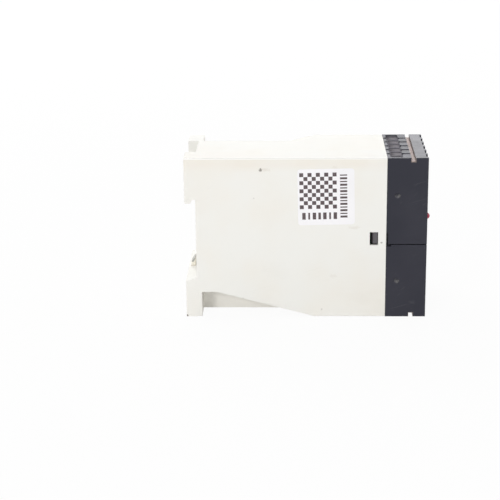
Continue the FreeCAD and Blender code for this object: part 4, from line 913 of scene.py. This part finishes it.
class LEVELRELAY_OT_lamp(bpy.types.Operator):
    """Turn the red lamp lens with the small metal cup inside it, and finish its leads"""

    bl_idname = "level_relay.lamp"
    bl_label = "Indicator Lamp"

    def execute(self, context):
        values = context.scene.level_relay.lamp
        low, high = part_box("indicator_lamp")
        centre = [(a + b) / 2.0 for a, b in zip(low, high)]
        collar = (high[2] - low[2]) / 2.0
        barrel = values.barrel / 2.0
        shoulder = low[0] + values.collar
        dome = high[0] - barrel
        profile = [(low[0], 0.0), (low[0], collar - LENS_CHAMFER), (low[0] + LENS_CHAMFER, collar)]
        profile += [(shoulder - LENS_CHAMFER, collar), (shoulder, collar - LENS_CHAMFER), (shoulder, barrel)]
        for step in range(DOME_STEPS):
            angle = math.pi / 2.0 * step / DOME_STEPS
            profile.append((dome + barrel * math.sin(angle), barrel * math.cos(angle)))
        profile.append((high[0], 0.0))
        lens = bmesh.new()
        lathe(lens, profile, centre)
        bmesh.ops.recalc_face_normals(lens, faces=lens.faces)
        finish = Finish(
            "lamp_red", values.colour, 0.16, IOR=1.5, Transmission_Weight=0.35, Specular_IOR_Level=0.5,
        )
        haze = finish.effect("Moulded Grain", Size=0.25 * MM)
        finish.lay(haze["Tone"], [part * 0.7 for part in values.colour], 0.6)
        finish.vary_sheen(haze["Gloss"], 0.06)
        finish.emboss(haze["Height"], 0.003 * MM)
        piece = new_piece("lamp_lens", lens, [finish.close()], "case")
        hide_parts("indicator_lamp")

        cup = bmesh.new()
        foot = low[0] + CUP_FLOOR
        rim = low[0] + CUP_RIM
        well = rim - CUP_DEPTH
        cup_profile = [(foot, 0.0), (foot, CUP_FOOT_RADIUS), (rim, CUP_RIM_RADIUS)]
        cup_profile += [(rim, CUP_MOUTH_RADIUS), (well, CUP_WELL_RADIUS), (well, 0.0)]
        lathe(cup, cup_profile, centre, 24)
        bmesh.ops.recalc_face_normals(cup, faces=cup.faces)
        tinned = metal("tinned_wire", (0.72, 0.72, 0.71), (0.50, 0.50, 0.48), 0.30, (260.0, 2600.0, 2600.0))
        new_piece("lamp_cup", cup, [tinned], "case")
        dress(tinned, "lamp_leads")
        return {"FINISHED"}


class LEVELRELAY_OT_adjuster(bpy.types.Operator):
    """Finish the knob and its potentiometer, and print the marks round the knob"""

    bl_idname = "level_relay.adjuster"
    bl_label = "Adjuster"

    def execute(self, context):
        values = context.scene.level_relay.dial
        knob = moulded("knob_grey", values.knob, (0.36, 0.35, 0.32), 0.45, 0.3 * MM, 0.01 * MM)
        rub_edges(knob, "sensitivity_knob", (0.60, 0.59, 0.56), 0.4 * MM, 0.6)
        settle_dust_and_sheen(knob, (0.40, 0.38, 0.35), 0.3)
        soften("sensitivity_knob", "adjuster_knob", 0.12 * MM, knob.close())
        dress_moulded(
            ["potentiometer"], "potentiometer_blue", (0.09, 0.20, 0.46), (0.06, 0.14, 0.34),
            0.42, 0.35 * MM, 0.01 * MM, rub=((0.30, 0.38, 0.55), 0.3 * MM, 0.5),
        )

        low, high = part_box("sensitivity_knob")
        up = (low[2] + high[2]) / 2.0
        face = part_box("upper_terminal_block")[1][0]
        ink = Finish("dial_print", values.print_colour, 0.5)
        gaps = ink.effect("Moulded Grain", Size=0.2 * MM)
        ink.lay(gaps["Tone"], (0.52, 0.52, 0.50), 0.6)
        marks = bmesh.new()
        for mark in range(values.marks):
            angle = math.pi / 2.0 - values.sweep / 2.0 + values.sweep * mark / (values.marks - 1)
            along = Vector((math.cos(angle), math.sin(angle)))
            side = Vector((-along.y, along.x)) * values.width / 2.0
            inner, outer = along * values.inner, along * values.outer
            outline = [tuple(inner - side), tuple(outer - side), tuple(outer + side), tuple(inner + side)]
            slab(marks, outline, lambda u, v, lift: (face + lift, u, up + v), *DIAL_PRINT_HEIGHTS)
        bmesh.ops.recalc_face_normals(marks, faces=marks.faces)
        new_piece("dial_marks", marks, [ink.close()], "case")
        return {"FINISHED"}


# Label

# Print of the label, from the middle of the sheet: a chequered field, and bars below and beside it
CHEQUER_CELLS = 9
CHEQUER_CELL = 1.82 * MM
CHEQUER_MIDDLE = (-3.5 * MM, 2.85 * MM)
CHEQUER_SHARE = 0.97
BAR_LENGTH = 3.1 * MM
LOWER_BAR_WIDTHS = (1.5 * MM, 0.8 * MM, 1.5 * MM, 1.1 * MM, 1.5 * MM, 0.8 * MM, 1.5 * MM)
LOWER_BAR_PITCH = 2.3 * MM
LOWER_BARS_MIDDLE = (-3.0 * MM, -8.6 * MM)
SIDE_BARS = 14
SIDE_BAR_WIDTHS = (0.95 * MM, 0.55 * MM)
SIDE_BAR_PITCH = 1.45 * MM
SIDE_BARS_MIDDLE = (7.7 * MM, 0.35 * MM)
# The ink stands this far out of the paper, and starts this far below its face
INK_RISE = 0.012 * MM
INK_ROOT = 0.02 * MM


class LEVELRELAY_OT_label(bpy.types.Operator):
    """Stick a plain paper label with a generic print on the near side"""

    bl_idname = "level_relay.label"
    bl_label = "Label"

    def execute(self, context):
        values = context.scene.level_relay.label
        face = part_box("housing")[0][1]
        cosine, sine = math.cos(values.tilt), math.sin(values.tilt)

        def on_side(u, v, lift):
            across = values.across + cosine * u - sine * v
            return across, face - lift, values.up + sine * u + cosine * v

        sheet = bmesh.new()
        outline = rounded_rectangle(values.width, values.height, values.corner)
        slab(sheet, outline, on_side, 0.0, values.thickness * 0.8)
        inset = values.thickness * 0.5
        rim = rounded_rectangle(values.width - inset, values.height - inset, values.corner)
        slab(sheet, rim, on_side, values.thickness * 0.7, values.thickness)
        top = values.thickness + INK_RISE
        base = values.thickness - INK_ROOT

        def print_block(u, v, width, height):
            slab(sheet, oblong(u, v, width, height), on_side, base, top, 1)

        square = CHEQUER_CELL * CHEQUER_SHARE
        for row in range(CHEQUER_CELLS):
            for column in range(CHEQUER_CELLS):
                if (row + column) % 2 == 0:
                    u = CHEQUER_MIDDLE[0] + (column - CHEQUER_CELLS // 2) * CHEQUER_CELL
                    v = CHEQUER_MIDDLE[1] + (row - CHEQUER_CELLS // 2) * CHEQUER_CELL
                    print_block(u, v, square, square)
        for bar, width in enumerate(LOWER_BAR_WIDTHS):
            u = LOWER_BARS_MIDDLE[0] + (bar - (len(LOWER_BAR_WIDTHS) - 1) / 2.0) * LOWER_BAR_PITCH
            print_block(u, LOWER_BARS_MIDDLE[1], width, BAR_LENGTH)
        for bar in range(SIDE_BARS):
            v = SIDE_BARS_MIDDLE[1] + (bar - (SIDE_BARS - 1) / 2.0) * SIDE_BAR_PITCH
            print_block(SIDE_BARS_MIDDLE[0], v, BAR_LENGTH, SIDE_BAR_WIDTHS[bar % 2])
        bmesh.ops.recalc_face_normals(sheet, faces=sheet.faces)

        paper = Finish("label_paper", values.paper, 0.38, Specular_IOR_Level=0.45)
        fibre = paper.effect("Moulded Grain", Size=0.22 * MM)
        paper.lay(fibre["Tone"], [part * 0.96 for part in values.paper], 0.8)
        paper.vary_sheen(fibre["Gloss"], 0.05)
        paper.emboss(fibre["Height"], 0.004 * MM)
        scratches = paper.effect("Hairlines", Amount=0.4)
        paper.lay(scratches["Mask"], (0.62, 0.61, 0.60), 0.5)
        ink = Finish("label_ink", values.ink, 0.45)
        mottled = ink.effect("Moulded Grain", Size=0.18 * MM)
        ink.lay(ink.graph.step(mottled["Height"], 0.56, 0.74), (0.45, 0.42, 0.42), 0.5)
        ink.lay(mottled["Tone"], [part * 1.5 for part in values.ink], 0.6)
        piece = new_piece("label_sheet", sheet, [paper.close(), ink.close()], "case")
        return {"FINISHED"}


# Electronics

TRACE_PITCH = 2.54 * MM


def board_finish():
    """Green lacquered board with faint traces and round pads."""
    finish = Finish("board_green", (0.045, 0.19, 0.085), 0.35, Coat_Weight=0.4, Coat_Roughness=0.15)
    graph = finish.graph
    upright = finish.effect("Stripes", Along=(1.0, 1.0, 0.0), Pitch=TRACE_PITCH, Share=0.28)
    level = finish.effect("Stripes", Along=(0.0, 0.0, 1.0), Pitch=TRACE_PITCH, Share=0.28)
    chosen = graph.step(graph.noise(finish.place, 130.0, 1.0), 0.47, 0.50)
    swapped = graph.math("SUBTRACT", 1.0, chosen)
    traces = graph.math("MAXIMUM", graph.both(upright["Mask"], chosen), graph.both(level["Mask"], swapped))
    finish.lay(traces, (0.09, 0.30, 0.13), 0.8)
    finish.lay(graph.both(upright["Mask"], level["Mask"]), (0.48, 0.46, 0.40), 0.7)
    weave = finish.effect("Moulded Grain", Size=0.5 * MM)
    finish.lay(weave["Tone"], (0.03, 0.13, 0.06), 0.5)
    finish.emboss(traces, 0.03 * MM)
    return finish.close()


def stacked(name, colour, line, roughness, along, pitch, share, depth, **sockets):
    """A stack or winding: stripes of two tones with a rounded relief."""
    finish = Finish(name, colour, roughness, **sockets)
    stripes = finish.effect("Stripes", Along=along, Pitch=pitch, Share=share)
    gaps = finish.graph.math("SUBTRACT", 1.0, stripes["Mask"])
    finish.lay(gaps, line, 0.8)
    cloud = finish.effect("Moulded Grain", Size=0.6 * MM)
    finish.lay(cloud["Tone"], line, 0.3)
    finish.vary_sheen(cloud["Gloss"], 0.08)
    finish.emboss(stripes["Height"], depth)
    return finish.close()


def sleeve_finish():
    """Shrunk sleeve of a capacitor: dark blue with a pale stripe down one side and a bare metal end."""
    finish = moulded("can_sleeve", (0.03, 0.04, 0.13), (0.02, 0.025, 0.08), 0.28, 0.5 * MM, 0.008 * MM)
    facing = finish.graph.split(finish.facing)
    stripe = finish.graph.step(facing[0], 0.86, 0.89)
    finish.lay(stripe, (0.55, 0.56, 0.58), 0.9)
    end = finish.graph.step(facing[1], -0.80, -0.86)
    finish.lay(end, (0.62, 0.62, 0.62), 0.95)
    return finish.close()


class LEVELRELAY_OT_electronics(bpy.types.Operator):
    """Finish the boards, the transformer, the output relay and the small components"""

    bl_idname = "level_relay.electronics"
    bl_label = "Electronics"

    def execute(self, context):
        dress(board_finish(), "main_board", "front_board")
        core = stacked(
            "core_laminations", (0.22, 0.22, 0.23), (0.10, 0.10, 0.10), 0.45, (0.0, 1.0, 0.0), 0.5 * MM,
            0.8, 0.05 * MM, Metallic=0.6,
        )
        dress(core, "transformer_core")
        tape = stacked(
            "coil_tape", (0.66, 0.46, 0.10), (0.45, 0.30, 0.06), 0.35, (0.0, 0.0, 1.0), 3.6 * MM, 0.93,
            0.06 * MM, Coat_Weight=0.3,
        )
        dress(tape, "transformer_coil")
        wire = stacked(
            "coil_wire", (0.52, 0.22, 0.09), (0.24, 0.09, 0.04), 0.3, (1.0, 0.0, 0.0), 0.22 * MM, 0.75,
            0.06 * MM, Metallic=0.7,
        )
        dress(wire, "relay_coil")
        iron = metal("magnet_iron", (0.40, 0.40, 0.40), (0.24, 0.23, 0.22), 0.42, (240.0, 2400.0, 2400.0))
        dress(iron, "relay_magnet_frame", "relay_armature")
        copper = metal("contact_bronze", (0.72, 0.50, 0.30), (0.50, 0.33, 0.20), 0.3, (2400.0, 2400.0, 200.0))
        dress(copper, "relay_contact_spring", "relay_fixed_contacts")
        dress_moulded(
            ["relay_cover"], "relay_cover_grey", (0.56, 0.56, 0.52), (0.46, 0.46, 0.42),
            0.3, 0.5 * MM, 0.006 * MM, rub=((0.72, 0.72, 0.68), 0.4 * MM, 0.6),
        )
        dress_moulded(
            ["relay_base"], "relay_base_black", (0.035, 0.035, 0.036), (0.06, 0.06, 0.06),
            0.5, 0.4 * MM, 0.01 * MM, rub=((0.14, 0.14, 0.14), 0.3 * MM, 0.6),
        )
        dress(sleeve_finish(), "smoothing_capacitor", "timing_capacitor")
        dress_moulded(
            ["amplifier_chip", "bridge_rectifier"], "chip_epoxy", (0.028, 0.028, 0.03), (0.05, 0.05, 0.05),
            0.55, 0.18 * MM, 0.02 * MM,
        )
        dress_moulded(
            ["resistor_network"], "network_coat", (0.50, 0.34, 0.16), (0.40, 0.26, 0.11),
            0.33, 0.8 * MM, 0.03 * MM, Coat_Weight=0.4,
        )
        return {"FINISHED"}


# Stage

# How much of what the camera sees of the floor is plain white
FLOOR_GLOW = 0.94
FLOOR_PAPER = (0.92, 0.92, 0.92, 1.0)
WHITE = (1.0, 1.0, 1.0, 1.0)
AMBIENT_TINT = (1.0, 0.995, 0.985, 1.0)
# Soft lights: place, width and height in metres, all turned to a point in the object
LIT_POINT = (0.0, 0.0, 0.035)
SOFTBOXES = {
    "key": ((-0.60, -1.25, 0.55), 0.35, 0.35),
    "fill": ((0.55, -1.30, 0.18), 0.6, 0.3),
    "over": ((0.35, -0.75, 1.25), 0.8, 0.5),
    "back": ((-0.45, 1.02, 0.68), 2.4, 0.9),
    "front": ((1.25, 0.55, 0.70), 0.6, 0.6),
}


def seen_directly(graph):
    """1 where the camera looks, or where it looks through gloss or glass."""
    path = graph.add("ShaderNodeLightPath").outputs
    seen = graph.math("MAXIMUM", path["Is Camera Ray"], path["Is Glossy Ray"])
    return graph.math("MAXIMUM", seen, path["Is Transmission Ray"])


def floor_material():
    """White floor: bright to the camera, and keeping the object's soft shadow."""
    material = bpy.data.materials.new("floor_white")
    graph = fresh_graph(material)
    paper = graph.add("ShaderNodeBsdfDiffuse", {"Color": FLOOR_PAPER})
    glow = graph.add("ShaderNodeEmission", {"Color": WHITE, "Strength": 1.0})
    share = graph.math("MULTIPLY", seen_directly(graph), FLOOR_GLOW)
    blend = graph.add("ShaderNodeMixShader", {0: share, 1: paper.outputs[0], 2: glow.outputs[0]})
    graph.add("ShaderNodeOutputMaterial", {"Surface": blend.outputs[0]})
    return material


def make_world(ambient):
    """Even light all round that the camera and reflections see as white."""
    world = bpy.data.worlds.new("studio")
    graph = fresh_graph(world)
    light = graph.add("ShaderNodeBackground", {"Color": AMBIENT_TINT, "Strength": ambient})
    white = graph.add("ShaderNodeBackground", {"Color": WHITE, "Strength": 1.0})
    values = {0: seen_directly(graph), 1: light.outputs[0], 2: white.outputs[0]}
    graph.add("ShaderNodeOutputWorld", {"Surface": graph.add("ShaderNodeMixShader", values).outputs[0]})
    return world


def add_softbox(name, power, place, target, width, height):
    """Rectangular light at a place, aimed at a target."""
    light = bpy.data.lights.new(name, "AREA")
    light.shape = "RECTANGLE"
    light.size = width
    light.size_y = height
    light.energy = power
    lamp = bpy.data.objects.new(name, light)
    lamp.location = place
    lamp.rotation_euler = (Vector(target) - Vector(place)).to_track_quat("-Z", "Y").to_euler()
    lamp.visible_camera = False
    bpy.context.scene.collection.objects.link(lamp)


def add_camera(values):
    """Camera with the given place, tilt, turn, roll and lens."""
    level, fall = math.cos(values.pitch), math.sin(values.pitch)
    forward = Vector((math.sin(values.yaw) * level, math.cos(values.yaw) * level, -fall))
    right = Vector((math.cos(values.yaw), -math.sin(values.yaw), 0.0))
    up = right.cross(forward)
    cosine, sine = math.cos(values.roll), math.sin(values.roll)
    rolled_right = right * cosine + up * sine
    rolled_up = up * cosine - right * sine
    data = bpy.data.cameras.new("camera")
    data.sensor_width = 36.0
    data.lens = values.lens
    data.clip_start = 0.01
    data.clip_end = 50.0
    camera = bpy.data.objects.new("camera", data)
    turn = Matrix((rolled_right, rolled_up, -forward)).transposed().to_4x4()
    camera.matrix_world = Matrix.Translation(values.camera) @ turn
    bpy.context.scene.collection.objects.link(camera)
    bpy.context.scene.camera = camera


class LEVELRELAY_OT_stage(bpy.types.Operator):
    """Set up the white floor, the soft light and the camera"""

    bl_idname = "level_relay.stage"
    bl_label = "Stage"

    def execute(self, context):
        values = context.scene.level_relay.stage
        shape = bmesh.new()
        outline = oblong(0.0, 0.0, values.floor, values.floor)
        shape.faces.new([shape.verts.new((x, y, 0.0)) for x, y in outline])
        floor = new_object("floor", shape, [floor_material()])
        context.scene.world = make_world(values.ambient)
        for name, (place, width, height) in SOFTBOXES.items():
            add_softbox(name, getattr(values, name), place, LIT_POINT, width, height)
        add_camera(values)
        context.scene.view_settings.view_transform = "Standard"
        return {"FINISHED"}


# Add-on

STEPS = (
    LEVELRELAY_OT_case,
    LEVELRELAY_OT_front,
    LEVELRELAY_OT_terminals,
    LEVELRELAY_OT_latch,
    LEVELRELAY_OT_lamp,
    LEVELRELAY_OT_adjuster,
    LEVELRELAY_OT_label,
    LEVELRELAY_OT_electronics,
    LEVELRELAY_OT_stage,
)


class LEVELRELAY_PT_panel(bpy.types.Panel):
    """Steps and values of the level relay"""

    bl_idname = "LEVELRELAY_PT_panel"
    bl_label = "Level Relay"
    bl_space_type = "VIEW_3D"
    bl_region_type = "UI"
    bl_category = "Level Relay"

    def draw(self, context):
        layout = self.layout
        for step in STEPS:
            layout.operator(step.bl_idname)
        everything = context.scene.level_relay
        for part in ("case", "front", "label", "lamp", "dial", "stage"):
            box = layout.box()
            box.label(text=part.capitalize())
            group = getattr(everything, part)
            for name in group.bl_rna.properties.keys():
                if name not in ("rna_type", "name"):
                    box.prop(group, name)


CLASSES = (
    LEVELRELAY_PG_case,
    LEVELRELAY_PG_front,
    LEVELRELAY_PG_label,
    LEVELRELAY_PG_lamp,
    LEVELRELAY_PG_dial,
    LEVELRELAY_PG_stage,
    LEVELRELAY_PG_all,
    *STEPS,
    LEVELRELAY_PT_panel,
)


def register():
    """Add the classes and the values to Blender."""
    for kind in CLASSES:
        bpy.utils.register_class(kind)
    bpy.types.Scene.level_relay = PointerProperty(type=LEVELRELAY_PG_all)


def unregister():
    """Take the classes and the values out again."""
    del bpy.types.Scene.level_relay
    for kind in reversed(CLASSES):
        bpy.utils.unregister_class(kind)


def main():
    """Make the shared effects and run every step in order."""
    register()
    for make in SHARED_EFFECTS:
        make()
    bpy.ops.level_relay.case()
    bpy.ops.level_relay.front()
    bpy.ops.level_relay.terminals()
    bpy.ops.level_relay.latch()
    bpy.ops.level_relay.lamp()
    bpy.ops.level_relay.adjuster()
    bpy.ops.level_relay.label()
    bpy.ops.level_relay.electronics()
    bpy.ops.level_relay.stage()


if __name__ == "__main__":
    main()
